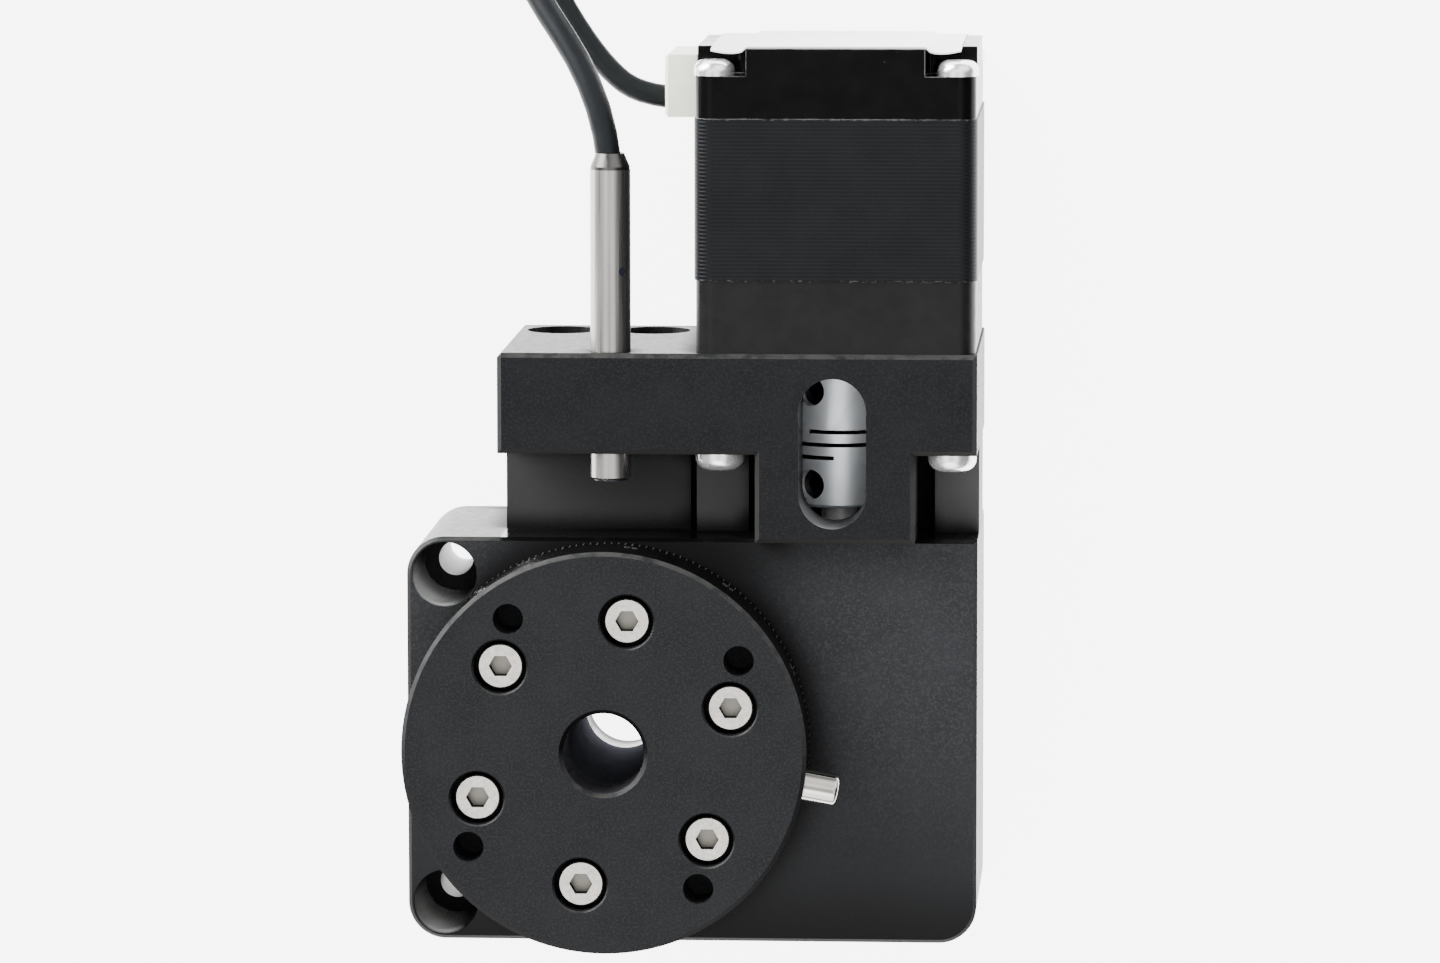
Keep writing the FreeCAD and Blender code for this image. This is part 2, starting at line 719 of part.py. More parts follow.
def socket_room():
    """Space in the end cap's left side for the socket."""
    left = MOTOR_X - MOTOR_HALF
    half = PLUG_HALF_Z - 0.6
    return (left, left + 3.6, CAP_LOW + 0.7, MOTOR_END - 1.1, MOTOR_Z - half, MOTOR_Z + half)


def motor_end_cap():
    cap = motor_block(MOTOR_HALF, CAP_LOW, MOTOR_END)
    bearing_low = MOTOR_BEARING_LOWS[1]
    hollow = on_motor_axis(turned([
        (0, CAP_LOW),
        (WINDING_R + 0.3, CAP_LOW),
        (WINDING_R + 0.3, bearing_low),
        (MOTOR_BEARING[1], bearing_low),
        (MOTOR_BEARING[1], bearing_low + MOTOR_BEARING[2]),
        (4.4, bearing_low + MOTOR_BEARING[2]),
        (4.4, bearing_low + MOTOR_BEARING[2] + 0.4),
        (0, bearing_low + MOTOR_BEARING[2] + 0.4),
    ]))
    cuts = [hollow, box(*socket_room())] + motor_holes(CASE_SCREW_HALF, M2_CLEAR_R, CAP_LOW, MOTOR_END)
    for x, z in motor_corners(CASE_SCREW_HALF):
        side_x = 1 if x > MOTOR_X else -1
        side_z = 1 if z > MOTOR_Z else -1
        x0, x1 = sorted((side_x * (MOTOR_HALF - CORNER_POCKET), side_x * (MOTOR_HALF + 1)))
        z0, z1 = sorted((side_z * (MOTOR_HALF - CORNER_POCKET), side_z * (MOTOR_HALF + 1)))
        pocket = box(x0, x1, MOTOR_END - CORNER_POCKET_DEPTH, MOTOR_END, z0, z1)
        inner_x = side_x * (MOTOR_HALF - CORNER_POCKET)
        inner_z = side_z * (MOTOR_HALF - CORNER_POCKET)
        inner = edges_where(pocket, lambda p: near(p.x, inner_x) and near(p.z, inner_z))
        cuts.append(moved_to(pocket.makeFillet(1.5, inner), (MOTOR_X, 0, MOTOR_Z)))
    return cap.cut(cuts)


def motor_case_screws():
    seat = MOTOR_END - CORNER_POCKET_DEPTH
    screw = pan_screw(M2_R, M2_PAN_HEAD, seat - PLATE_TOP - 4)
    return [moved_to(screw, (x, seat, z), X_AXIS, -90) for x, z in motor_corners(CASE_SCREW_HALF)]


def motor_label():
    return box(
        MOTOR_X - LABEL_HALF_X, MOTOR_X + LABEL_HALF_X,
        MOTOR_END, MOTOR_END + LABEL_THICK,
        MOTOR_Z - LABEL_HALF_Z, MOTOR_Z + LABEL_HALF_Z,
    )


def plug_nose(clearance):
    """Part of the plug that goes into the socket."""
    left, right, low, high, back, front = socket_room()
    wall = 0.8 - clearance
    return box(left, right - wall, low + wall, high - wall, back + wall, front - wall)


def motor_socket():
    return box(*socket_room()).cut(plug_nose(0))


def motor_plug():
    head = box(PLUG_LEFT, PLUG_RIGHT, PLUG_LOW, PLUG_HIGH, MOTOR_Z - PLUG_HALF_Z, MOTOR_Z + PLUG_HALF_Z)
    head = head.makeChamfer(0.3, edges_where(head, lambda p: near(p.x, PLUG_LEFT)))
    left = MOTOR_X - MOTOR_HALF
    neck = box(PLUG_RIGHT, left, PLUG_LOW + 2, PLUG_HIGH - 1.3, MOTOR_Z - 5, MOTOR_Z + 5)
    cord_hole = rod(MOTOR_CORD_D / 2, (PLUG_LEFT, PLUG_CORD_Y, MOTOR_Z), MOTOR_CORD_ROUTE[0])
    return head.fuse([neck, plug_nose(-0.02)]).removeSplitter().cut(cord_hole)


# Bracket and what is fixed to it

def bracket_column(x0, x1, z0, z1):
    """Upright part of the bracket between the body and the plate."""
    return box(x0, x1, BODY_HALF, PLATE_BOTTOM, z0, z1)


def bracket_blank():
    tongue_left = MOTOR_X - TONGUE_HALF
    tongue_right = MOTOR_X + TONGUE_HALF
    plate = box(BRACKET_LEFT, BRACKET_RIGHT, PLATE_BOTTOM, PLATE_TOP, 0, BRACKET_FRONT)
    blank = plate.fuse([
        bracket_column(BRACKET_LEFT, LEG_RIGHT, 0, LEG_FRONT),
        bracket_column(LEG_RIGHT, tongue_left, WEB_BACK, WEB_FRONT),
        bracket_column(LEG_RIGHT + 0.7, tongue_left - 1.1, WEB_BACK, BOSS_FRONT),
        bracket_column(tongue_left, tongue_right, 0, BRACKET_FRONT),
        bracket_column(tongue_right, BRACKET_RIGHT, WEB_BACK, WEB_FRONT),
        bracket_column(tongue_right + 1.7, BRACKET_RIGHT, WEB_BACK, BOSS_FRONT),
    ]).removeSplitter()
    front = edges_where(blank, lambda p: near(p.z, BRACKET_FRONT))
    outer = edges_where(blank, lambda p: near(p.y, PLATE_TOP) and not near(p.z, BRACKET_FRONT))
    left = edges_where(blank, lambda p: near(p.x, BRACKET_LEFT) and near(p.y, PLATE_TOP))
    return blank.makeChamfer(BRACKET_CHAMFER, front + outer + left)


def oblong(half_width, low, high, along, place, depth):
    """Prism with round ends: low to high along X, turned, then made at a place and to a depth vector."""
    middle = box(low + half_width, high - half_width, -half_width, half_width, 0, 1)
    ends = [rod(half_width, (e, 0, 0), (e, 0, 1)) for e in (low + half_width, high - half_width)]
    outline = middle.fuse(ends).removeSplitter()
    face = [f for f in outline.Faces if near(f.CenterOfMass.z, 0)][0]
    face.rotate(ORIGIN, *along)
    face.translate(Vector(*place))
    return face.extrude(Vector(*depth))


def motor_bracket():
    window = oblong(
        WINDOW_HALF, WINDOW_LOW, WINDOW_HIGH, (Z_AXIS, 90),
        (WINDOW_X, 0, MOTOR_Z), (0, 0, BRACKET_FRONT - MOTOR_Z),
    )
    middle = (MOTOR_X, MOTOR_Z)
    cuts = [
        window,
        rod(COUPLING_BORE_R, (middle[0], BODY_HALF, middle[1]), (middle[0], PLATE_TOP, middle[1])),
        rod(PILOT_R + 0.05, (middle[0], PLATE_TOP - 2.2, middle[1]), (middle[0], PLATE_TOP, middle[1])),
        rod(SENSOR_R + 0.02, (SENSOR_X, PLATE_BOTTOM, SENSOR_Z), (SENSOR_X, PLATE_TOP, SENSOR_Z)),
        rod(M3_R, (BRACKET_LEFT, SENSOR_GRIP_Y, SENSOR_Z), (SENSOR_X - 1.8, SENSOR_GRIP_Y, SENSOR_Z)),
    ]
    cuts += motor_holes(MOUNT_SCREW_HALF, M25_CLEAR_R, PLATE_BOTTOM, PLATE_TOP)
    for x, z, well_r in BRACKET_SCREWS:
        cuts.append(rod(M3_CLEAR_R, (x, BODY_HALF, z), (x, BRACKET_SEAT, z)))
        cuts.append(rod(well_r, (x, BRACKET_SEAT, z), (x, PLATE_TOP, z)))
    return bracket_blank().cut(cuts)


def bracket_screws():
    screw = cap_screw(M3_R, M3_HEAD_R, 3.0, 10.0, 2.5)
    return [moved_to(screw, (x, BRACKET_SEAT, z), X_AXIS, -90) for x, z, _ in BRACKET_SCREWS]


def motor_mount_screws():
    screw = pan_screw(M25_R, M25_PAN_HEAD, PLATE_TOP - PLATE_BOTTOM + 2.5)
    return [moved_to(screw, (x, PLATE_BOTTOM, z), X_AXIS, 90) for x, z in motor_corners(MOUNT_SCREW_HALF)]


# Home sensor

def sensor_barrel():
    edge = 0.2
    inner = SENSOR_R - SENSOR_WALL
    barrel = turned([
        (inner, SENSOR_TIP),
        (SENSOR_R - edge, SENSOR_TIP),
        (SENSOR_R, SENSOR_TIP + edge),
        (SENSOR_R, SENSOR_SHOULDER),
        (inner, SENSOR_SHOULDER),
    ])
    return on_sensor_axis(barrel).cut(led_rod(SENSOR_R + 1))


def led_rod(outer):
    """Round bar from the sensor's axis outwards, where the lamp looks out."""
    turn = math.radians(LED_TURN)
    end = (SENSOR_X + outer * math.sin(turn), LED_Y, SENSOR_Z + outer * math.cos(turn))
    return rod(LED_R, (SENSOR_X, LED_Y, SENSOR_Z), end)


def sensor_led():
    core = rod(SENSOR_R - SENSOR_WALL, (0, 0, LED_Y - 2), (0, 0, LED_Y + 2))
    return led_rod(SENSOR_R - 0.05).cut(on_sensor_axis(core))


def sensor_core():
    inner = SENSOR_R - SENSOR_WALL
    return on_sensor_axis(rod(inner, (0, 0, SENSOR_TIP + 1), (0, 0, SENSOR_CORE_END)))


def sensor_face():
    inner = SENSOR_R - SENSOR_WALL
    return on_sensor_axis(rod(inner, (0, 0, SENSOR_TIP - 0.1), (0, 0, SENSOR_TIP + 1)))


def sensor_crimp():
    cord_r = SENSOR_CORD_D / 2
    inner = SENSOR_R - SENSOR_WALL
    return on_sensor_axis(turned([
        (cord_r, SENSOR_CORE_END),
        (inner, SENSOR_CORE_END),
        (inner, SENSOR_SHOULDER),
        (SENSOR_R - 0.05, SENSOR_SHOULDER),
        (SENSOR_R - 0.05, SENSOR_SHOULDER + 0.3),
        (cord_r + 0.15, CRIMP_END),
        (cord_r, CRIMP_END),
    ]))


def sensor_set_screw():
    screw = set_screw(M3_R, 6.0, 1.5)
    place = (SENSOR_X - SENSOR_R - 0.02, SENSOR_GRIP_Y, SENSOR_Z)
    return moved_to(screw, place, Y_AXIS, -90)


# Cords

def cord_tube(name, diameter, route):
    """Round tube along straight runs joined by tangent arcs, each as large as its two runs allow."""
    points = [Vector(*p) for p in route]
    edges = []
    start = points[0]
    length = 0
    for before, corner, after in zip(points, points[1:], points[2:]):
        into = (corner - before).normalize()
        out = (after - corner).normalize()
        half_turn = into.getAngle(out) / 2
        tangent = 0.45 * min((corner - before).Length, (after - corner).Length)
        radius = tangent / math.tan(half_turn)
        turn = math.degrees(2 * half_turn)
        print(f"{name}: turn {turn:.0f} degrees, radius {radius / diameter:.1f} diameters")
        arc_start = corner - into * tangent
        arc_end = corner + out * tangent
        inward = (out - into).normalize()
        arc_middle = corner + inward * (radius / math.cos(half_turn) - radius)
        edges.append(Part.LineSegment(start, arc_start).toShape())
        edges.append(Part.Arc(arc_start, arc_middle, arc_end).toShape())
        length += (arc_start - start).Length + radius * 2 * half_turn
        start = arc_end
    edges.append(Part.LineSegment(start, points[-1]).toShape())
    length += (points[-1] - start).Length
    section = Part.Wire(Part.makeCircle(diameter / 2, points[0], points[1] - points[0]))
    tube = Part.Wire(edges).makePipeShell([section], True, True)
    share = tube.Volume / (math.pi * diameter ** 2 / 4 * length)
    print(f"{name}: length {length:.1f}, volume over section times length {share:.4f}")
    return tube


def coil_spans(coil, diameter):
    """Inner and outer radius, bottom and top of a coil that stands on its tie."""
    half = coil["columns"] * diameter / 2
    low = TIE_THICK
    return coil["radius"] - half, coil["radius"] + half, low, low + coil["layers"] * diameter


def cord_coil(coil, diameter):
    inner, outer, low, high = coil_spans(coil, diameter)
    corner = diameter / 2
    body = turned([
        (inner, low + corner),
        (inner + corner, low),
        (outer - corner, low),
        (outer, low + corner),
        (outer, high - corner),
        (outer - corner, high),
        (inner + corner, high),
        (inner, high - corner),
    ])
    return moved_to(body, (*coil["centre"], 0))


def cord_tie(coil, diameter, angle):
    """Band round the coil's turns, with a square buckle on top."""
    inner, outer, low, high = coil_spans(coil, diameter)
    half = TIE_WIDTH / 2
    band = box(inner - TIE_THICK, outer + TIE_THICK, -half, half, low - TIE_THICK, high + TIE_THICK)
    buckle = box(outer - 3.0, outer, -half - 0.5, half + 0.5, high, high + 2.0)
    tie = band.fuse(buckle).removeSplitter()
    tie.rotate(ORIGIN, Z_AXIS, angle)
    tie.translate(Vector(*coil["centre"], 0))
    return tie.cut(cord_coil(coil, diameter))


def cord_connector(boot_start, rear, heading, boot_r):
    """Crimp housing on the ground, from its rear point along a heading, with a boot out of the coil."""
    length, width, height = CONNECTOR
    bottom = -rear[2]
    housing = box(0, length, -width / 2, width / 2, bottom, bottom + height)
    housing = housing.makeChamfer(0.4, edges_where(housing, lambda p: near(p.x, length)))
    rib = box(1.5, length - 1.5, 1 - width / 2, width / 2 - 1, bottom + height, bottom + height + 0.8)
    placed = moved_to(housing.fuse(rib).removeSplitter(), rear, Z_AXIS, heading)
    inside = Vector(math.cos(math.radians(heading)), math.sin(math.radians(heading)), 0) * boot_r
    return placed.fuse(rod(boot_r, boot_start, tuple(Vector(*rear) + inside)))


def motor_cord_connector():
    """Lies on the ground beside its coil, where the cord runs out from under the upper layer."""
    outer = coil_spans(MOTOR_COIL, MOTOR_CORD_D)[1]
    centre_x, centre_y = MOTOR_COIL["centre"]
    turn_r = MOTOR_COIL["radius"] + 0.75 * MOTOR_CORD_D
    away = math.sqrt(outer ** 2 - turn_r ** 2)
    y = centre_y + turn_r
    z = TIE_THICK + MOTOR_CORD_D / 2
    boot_start = (centre_x + away - 1.5, y, z)
    rear = (centre_x + away + BOOT, y, z)
    return cord_connector(boot_start, rear, 0, MOTOR_CORD_D / 2 + 0.4)


def sensor_cord_connector():
    """As the motor's, on the far side of its coil."""
    outer = coil_spans(SENSOR_COIL, SENSOR_CORD_D)[1]
    centre_x, centre_y = SENSOR_COIL["centre"]
    turn_r = SENSOR_COIL["radius"] + 0.5 * SENSOR_CORD_D
    away = math.sqrt(outer ** 2 - turn_r ** 2)
    x = centre_x - turn_r
    z = TIE_THICK + SENSOR_CORD_D / 2
    boot_start = (x, centre_y - away + 1.5, z)
    rear = (x, centre_y - away - BOOT, z)
    return cord_connector(boot_start, rear, -90, SENSOR_CORD_D / 2 + 0.4)


# Nodes

nodes = {
    "body_housing": body_housing(),
    "back_cover": back_cover(),
    "back_cover_screws": back_cover_screws(),
    "worm_bearing_outers": worm_bearing_pair(bearing_outer),
    "worm_bearing_nut": worm_bearing_nut(),
    "table_bearing_outer": bearing_outer(UPPER_BEARING, UPPER_SEAT, UPPER_FLANGE, UPPER_FLANGE_R),
    "lower_bearing_outer": bearing_outer(LOWER_BEARING, LOWER_SEAT),
    "spindle_hub": spindle_hub(),
    "spindle_nut": spindle_nut(),
    "table_bearing_inner": bearing_inner(UPPER_BEARING, UPPER_SEAT),
    "lower_bearing_inner": bearing_inner(LOWER_BEARING, LOWER_SEAT),
    "worm_wheel": worm_wheel(),
    "table_disc": table_disc(),
    "table_screws": table_screws(),
    "home_pin": home_pin(),
    "worm_shaft": worm_shaft(),
    "worm_bearing_inners": worm_bearing_pair(bearing_inner),
    "shaft_coupling": shaft_coupling(),
    "coupling_set_screws": coupling_set_screws(),
    "motor_shaft": motor_shaft(),
    "motor_rotor": motor_rotor(),
    "motor_bearing_inners": motor_bearing_pair(bearing_inner),
    "motor_bearing_outers": motor_bearing_pair(bearing_outer),
    "motor_flange": motor_flange(),
    "stator_stack": stator_stack(),
    "stator_windings": stator_windings(),
    "motor_end_cap": motor_end_cap(),
    "motor_case_screws": motor_case_screws(),
    "motor_label": motor_label(),
    "motor_socket": motor_socket(),
    "motor_plug": motor_plug(),
    "motor_bracket": motor_bracket(),
    "bracket_screws": bracket_screws(),
    "motor_mount_screws": motor_mount_screws(),
    "sensor_barrel": sensor_barrel(),
    "sensor_led": sensor_led(),
    "sensor_core": sensor_core(),
    "sensor_face": sensor_face(),
    "sensor_crimp": sensor_crimp(),
    "sensor_set_screw": sensor_set_screw(),
    "motor_cord": cord_tube("motor_cord", MOTOR_CORD_D, MOTOR_CORD_ROUTE),
    "motor_cord_coil": cord_coil(MOTOR_COIL, MOTOR_CORD_D),
    "motor_cord_tie": cord_tie(MOTOR_COIL, MOTOR_CORD_D, MOTOR_TIE_ANGLE),
    "motor_cord_connector": motor_cord_connector(),
    "sensor_cord": cord_tube("sensor_cord", SENSOR_CORD_D, SENSOR_CORD_ROUTE),
    "sensor_cord_coil": cord_coil(SENSOR_COIL, SENSOR_CORD_D),
    "sensor_cord_tie": cord_tie(SENSOR_COIL, SENSOR_CORD_D, SENSOR_TIE_ANGLE),
    "sensor_cord_connector": sensor_cord_connector(),
}

os.makedirs("parts", exist_ok=True)
for name, shape in nodes.items():
    if isinstance(shape, list):
        shape = Part.makeCompound(shape)
    sound = shape.isValid() and all(solid.isClosed() for solid in shape.Solids)
    print(f"{name}: {len(shape.Solids)} solids, {len(shape.Faces)} faces, {shape.Volume:.1f} mm3, {sound}")
    shape.exportStep(f"parts/{name}.step")
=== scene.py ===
import bmesh
import bpy
import math
from mathutils import Matrix, Vector


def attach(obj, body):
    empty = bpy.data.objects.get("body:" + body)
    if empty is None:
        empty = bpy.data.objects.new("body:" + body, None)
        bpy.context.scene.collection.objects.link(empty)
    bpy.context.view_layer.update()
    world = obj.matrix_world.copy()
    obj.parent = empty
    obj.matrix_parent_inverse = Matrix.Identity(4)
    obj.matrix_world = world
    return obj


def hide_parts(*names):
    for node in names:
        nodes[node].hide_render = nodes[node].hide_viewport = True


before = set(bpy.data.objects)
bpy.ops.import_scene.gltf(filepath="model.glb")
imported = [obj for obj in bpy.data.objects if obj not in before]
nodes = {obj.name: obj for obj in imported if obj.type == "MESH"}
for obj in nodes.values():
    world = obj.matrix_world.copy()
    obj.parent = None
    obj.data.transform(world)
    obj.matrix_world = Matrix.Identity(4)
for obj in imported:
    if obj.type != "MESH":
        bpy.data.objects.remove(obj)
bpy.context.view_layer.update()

MM = 0.001


def box(name):
    """Low and high corner of a node's solid, in millimetres."""
    sides = list(zip(*nodes[name].bound_box))
    low = [round(min(side) / MM, 3) for side in sides]
    high = [round(max(side) / MM, 3) for side in sides]
    return low, high


# Camera: film width and lens in millimetres, place in metres, lean in degrees as one vector along its axis

FILM_WIDTH = 36
LENS = 187.47
CAMERA_PLACE = (0.056059, 0.115415, 0.761066)
CAMERA_LEAN = (-6.9146, 3.4971, 0.1619)

# Cords, in millimetres: the routes are those of the solids, and the coils' turns go on from them

COIL_COLUMNS = 3
COIL_SPACING = 1.01
TURN_POINTS = 20
TIE_THICK = 0.6

MOTOR_CORD_D = 2.3
MOTOR_ROUTE = [
    (8.3, 63.2, 14.1),
    (3.0, 63.2, 14.1),
    (-1.4, 66.2, 12.9),
    (-7.0, 74.4, 10.4),
    (-10.2, 83.5, 8.3),
    (-9.2, 93.2, 6.35),
]
MOTOR_COIL = {
    "centre": (5.1, 92.2),
    "radius": 12.0,
    "start_angle": 176.1,
    "sense": -1,
    "layer_turns": (2, 2, 0.25),
}
MOTOR_TAIL = [(10.6, 105.9, 1.75), (15.7, 105.9, 1.75)]

SENSOR_CORD_D = 2.5
SENSOR_ROUTE = [
    (0.2, 55.2, 25.6),
    (0.2, 63.3, 25.6),
    (-9.8, 76.8, 18.4),
    (-13.4, 88.0, 12.2),
    (-15.5, 98.8, 9.35),
]
SENSOR_COIL = {
    "centre": (-31.6, 94.5),
    "radius": 14.2,
    "start_angle": 15.0,
    "sense": 1,
    "layer_turns": (2, 2, 2, 1.45),
}
SENSOR_TAIL = [(-47.0, 87.0, 1.85), (-47.0, 81.8, 1.85)]

# Places that the finishes, the painted shade and the painted light follow, in millimetres, those at the
# ends of a solid taken from the frame

BODY_LOW, BODY_HIGH = box("body_housing")
BODY_FRONT = BODY_HIGH[2]
WELL_R = 3.25
WELL_INSET = 3.75
WELL_X = BODY_LOW[0] + WELL_INSET
WELLS = [(WELL_X, BODY_HIGH[1] - WELL_INSET), (WELL_X, BODY_LOW[1] + WELL_INSET)]
BORE_R = 4.0
TABLE_HEAD_TOP = box("table_screws")[1][2]
BRACKET_LEFT = box("motor_bracket")[0][0]
LEG_FRONT = 17.5
BOSS_FRONT = 19.0
WINDOW_END = (22.25, 25.05)
WINDOW_R = 3.35
FLANGE_JOINT = box("motor_flange")[1][1]
CAP_JOINT = box("motor_end_cap")[0][1]
COUPLING_LOW, COUPLING_HIGH = box("shaft_coupling")
COUPLING_MIDDLE = (COUPLING_LOW[1] + COUPLING_HIGH[1]) / 2
SLITS_HALF = 2.6

# Stretches along an axis over which painted shade and painted light fade in or out, in millimetres, each
# from its start to its end

LOW_END_FADE_Y = (4.0, -20.0)
LOW_END_DARK_Y = (-12.0, -20.5)
ABOVE_TABLE_Y = (8.0, 18.5)
ABOVE_TABLE_RIGHT_X = (24.0, 10.0)
ABOVE_TABLE_LEFT_X = (-15.0, -3.0)
BY_TABLE_X = (-18.0, -12.0)
BY_TONGUE_X = (16.0, 20.0)
BY_TONGUE_Y = (13.0, 16.0)
SPINDLE_MOUTH_Z = (16.0, 28.0)
EDGE_FADE = 1.6

# Scale painted round the rim of the table, in millimetres and degrees, heights from the foot of the rim

DISC_R = box("table_disc")[1][0]
DISC_BOTTOM = box("table_disc")[0][2]
SCALE_TURN = -7
SCALE_FOOT = 0.45
LINE_STEP = 2
LONG_LINE_STEP = 10
NUMBER_STEP = 30
SHORT_LINE = 1.1
LONG_LINE = 1.7
LINE_HALF_WIDTH = 0.06
LINE_PROUD = 0.02
LINE_ROOT = -0.05
NUMBER_MIDDLE = 3.2
NUMBER_SIZE = 1.5
NUMBER_HALF_THICK = 0.03
NUMBER_SINK = 0.01

# Label on the motor's end, in millimetres, its corners hanging into the pockets of the cap

LABEL_LOW, LABEL_HIGH = box("motor_label")
LABEL_X = (LABEL_LOW[0] + LABEL_HIGH[0]) / 2
LABEL_Z = (LABEL_LOW[2] + LABEL_HIGH[2]) / 2
LABEL_HALF_X = (LABEL_HIGH[0] - LABEL_LOW[0]) / 2
LABEL_HALF_Z = (LABEL_HIGH[2] - LABEL_LOW[2]) / 2
LABEL_FLOOR = LABEL_LOW[1]
LABEL_THICK = LABEL_HIGH[1] - LABEL_LOW[1]
LABEL_SAG = 1.0
SAG_EASE = 1.3
POCKET_EDGE = 8.8
POCKET_STEPS = 8

# Floor and light, lengths in metres

FLOOR_HALF = 3.0
FLOOR_DROP = 0.0002
FLOOR_LIGHT = 6.5
FLOOR_FAR_LIGHT = 0.9
FLOOR_NEAR = 0.13
FLOOR_FAR = 0.6
SKY_LIGHT = 0.5

# Patches of the sky: direction, cosine where one starts, cosine where it is full, and light that it adds

SKY_PATCHES = [
    ((-0.1, -0.15, 1.0), 0.7, 0.93, 2.2),
    ((-0.07, -0.14, 0.98), 0.965, 0.99, -1.4),
    ((-0.75, 0.62, 0.16), 0.8, 0.95, 22.0),
    ((-0.1, -0.8, 0.6), 0.8, 0.95, 4.0),
    ((0.5, 0.6, 0.62), 0.8, 0.96, 2.5),
    ((1.0, -0.1, 0.15), 0.5, 0.95, -0.4),
]


# Camera

def make_camera():
    """Looks down on the table at the photograph's angle, fitted to a frame 1440 by 963."""
    data = bpy.data.cameras.new("camera")
    data.sensor_fit = "HORIZONTAL"
    data.sensor_width = FILM_WIDTH
    data.lens = LENS
    data.clip_start = 0.01
    data.clip_end = 10
    camera = bpy.data.objects.new("camera", data)
    bpy.context.scene.collection.objects.link(camera)
    lean = Vector(CAMERA_LEAN)
    turn = Matrix.Rotation(math.radians(lean.length), 4, lean.normalized())
    camera.matrix_world = Matrix.Translation(CAMERA_PLACE) @ turn
    bpy.context.scene.camera = camera


make_camera()


# Cords

def coil_turns(diameter, centre, radius, start_angle, sense, layer_turns):
    """Points of a coil wound from its top outer turn inwards, down a layer, outwards, and so on."""
    pitch = COIL_SPACING * diameter
    reach = (COIL_COLUMNS - 1) / 2 * pitch
    z = TIE_THICK + diameter / 2 + (len(layer_turns) - 1) * diameter
    spans = []
    for layer, turns in enumerate(layer_turns):
        inwards = layer % 2 == 0
        if layer > 0:
            spans.append(("drop", 1, not inwards, z))
            z -= diameter
        spans.append(("layer", turns, inwards, z))
    points = []
    angle = math.radians(start_angle)
    for kind, turns, inwards, level in spans:
        steps = round(turns * TURN_POINTS)
        side = -1 if inwards else 1
        for k in range(1, steps + 1):
            share = k / TURN_POINTS
            if kind == "layer":
                r = radius - side * reach + side * pitch * share
                height = level
            else:
                beside = radius + side * reach - side * pitch * (1 - share)
                r = beside + side * pitch * math.cos(share * math.pi / 2)
                height = level - diameter * math.sin(share * math.pi / 2)
            angle += sense * 2 * math.pi / TURN_POINTS
            points.append((centre[0] + r * math.cos(angle), centre[1] + r * math.sin(angle), height))
    return points


def make_cord(name, points, diameter):
    """Tube along a smooth curve, its thickness on the curve's points."""
    data = bpy.data.curves.new(name, "CURVE")
    data.dimensions = "3D"
    data.bevel_depth = 1.0
    data.bevel_resolution = 6
    data.resolution_u = 6
    data.use_fill_caps = True
    spline = data.splines.new("NURBS")
    spline.points.add(len(points) - 1)
    for point, place in zip(spline.points, points):
        point.co = (*(Vector(place) * MM), 1)
        point.radius = diameter / 2 * MM
    spline.order_u = 3
    spline.use_endpoint_u = True
    cord = bpy.data.objects.new(name, data)
    bpy.context.scene.collection.objects.link(cord)
    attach(cord, "base")
    return cord


def make_lead(name, node, route, coil, tail, diameter):
    """Cord from its exit to its connector, in place of the solids of its tube and its coil."""
    lead = make_cord(name, route + coil_turns(diameter, **coil) + tail, diameter)
    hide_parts(node, node + "_coil")
    return lead


motor_lead = make_lead(
    "motor_lead", "motor_cord", MOTOR_ROUTE, MOTOR_COIL, MOTOR_TAIL, MOTOR_CORD_D,
)
sensor_lead = make_lead(
    "sensor_lead", "sensor_cord", SENSOR_ROUTE, SENSOR_COIL, SENSOR_TAIL, SENSOR_CORD_D,
)


# Nodes of the materials

NOISE_LOW = 0.3
NOISE_HIGH = 0.7


def add_node(owner, kind):
    """New node in the tree of a material or of the world."""
    return owner.node_tree.nodes.new("ShaderNode" + kind)


def link(owner, start, end):
    owner.node_tree.links.new(start, end)


def surface(made):
    """Shader of a material."""
    return made.node_tree.nodes["Principled BSDF"]


def shader(name, base, roughness, metallic=0.0, specular=0.5):
    """New material, with its even values on the shader's own sockets."""
    made = bpy.data.materials.new(name)
    made.use_nodes = True
    sockets = surface(made).inputs
    sockets["Base Color"].default_value = (*base, 1)
    sockets["Roughness"].default_value = roughness
    sockets["Metallic"].default_value = metallic
    sockets["Specular IOR Level"].default_value = specular
    return made


def scaled(colour, share):
    """Colour made darker or lighter by a share."""
    return tuple(min(1.0, share * c) for c in colour)


def coordinates(made, stretch=(1, 1, 1)):
    """Places in millimetres, stretched along the axes."""
    place = add_node(made, "TexCoord")
    scale = add_node(made, "Mapping")
    scale.inputs["Scale"].default_value = [s / MM for s in stretch]
    link(made, place.outputs["Object"], scale.inputs["Vector"])
    return scale.outputs["Vector"]


def places(made):
    """Separate x, y and z of a point, in millimetres."""
    node = add_node(made, "SeparateXYZ")
    link(made, coordinates(made), node.inputs["Vector"])
    return node.outputs


def facings(made):
    """Separate x, y and z of the way a face looks, turning with its body."""
    look = add_node(made, "NewGeometry")
    own = add_node(made, "VectorTransform")
    own.vector_type = "NORMAL"
    own.convert_from = "WORLD"
    own.convert_to = "OBJECT"
    node = add_node(made, "SeparateXYZ")
    link(made, look.outputs["True Normal"], own.inputs["Vector"])
    link(made, own.outputs["Vector"], node.inputs["Vector"])
    return node.outputs


def from_axis(made, x=0, y=0):
    """Distance from an axis along Z, in millimetres."""
    node = add_node(made, "VectorMath")
    node.operation = "DISTANCE"
    node.inputs[1].default_value = (x, y, 0)
    link(made, coordinates(made, (1, 1, 0)), node.inputs[0])
    return node.outputs["Value"]


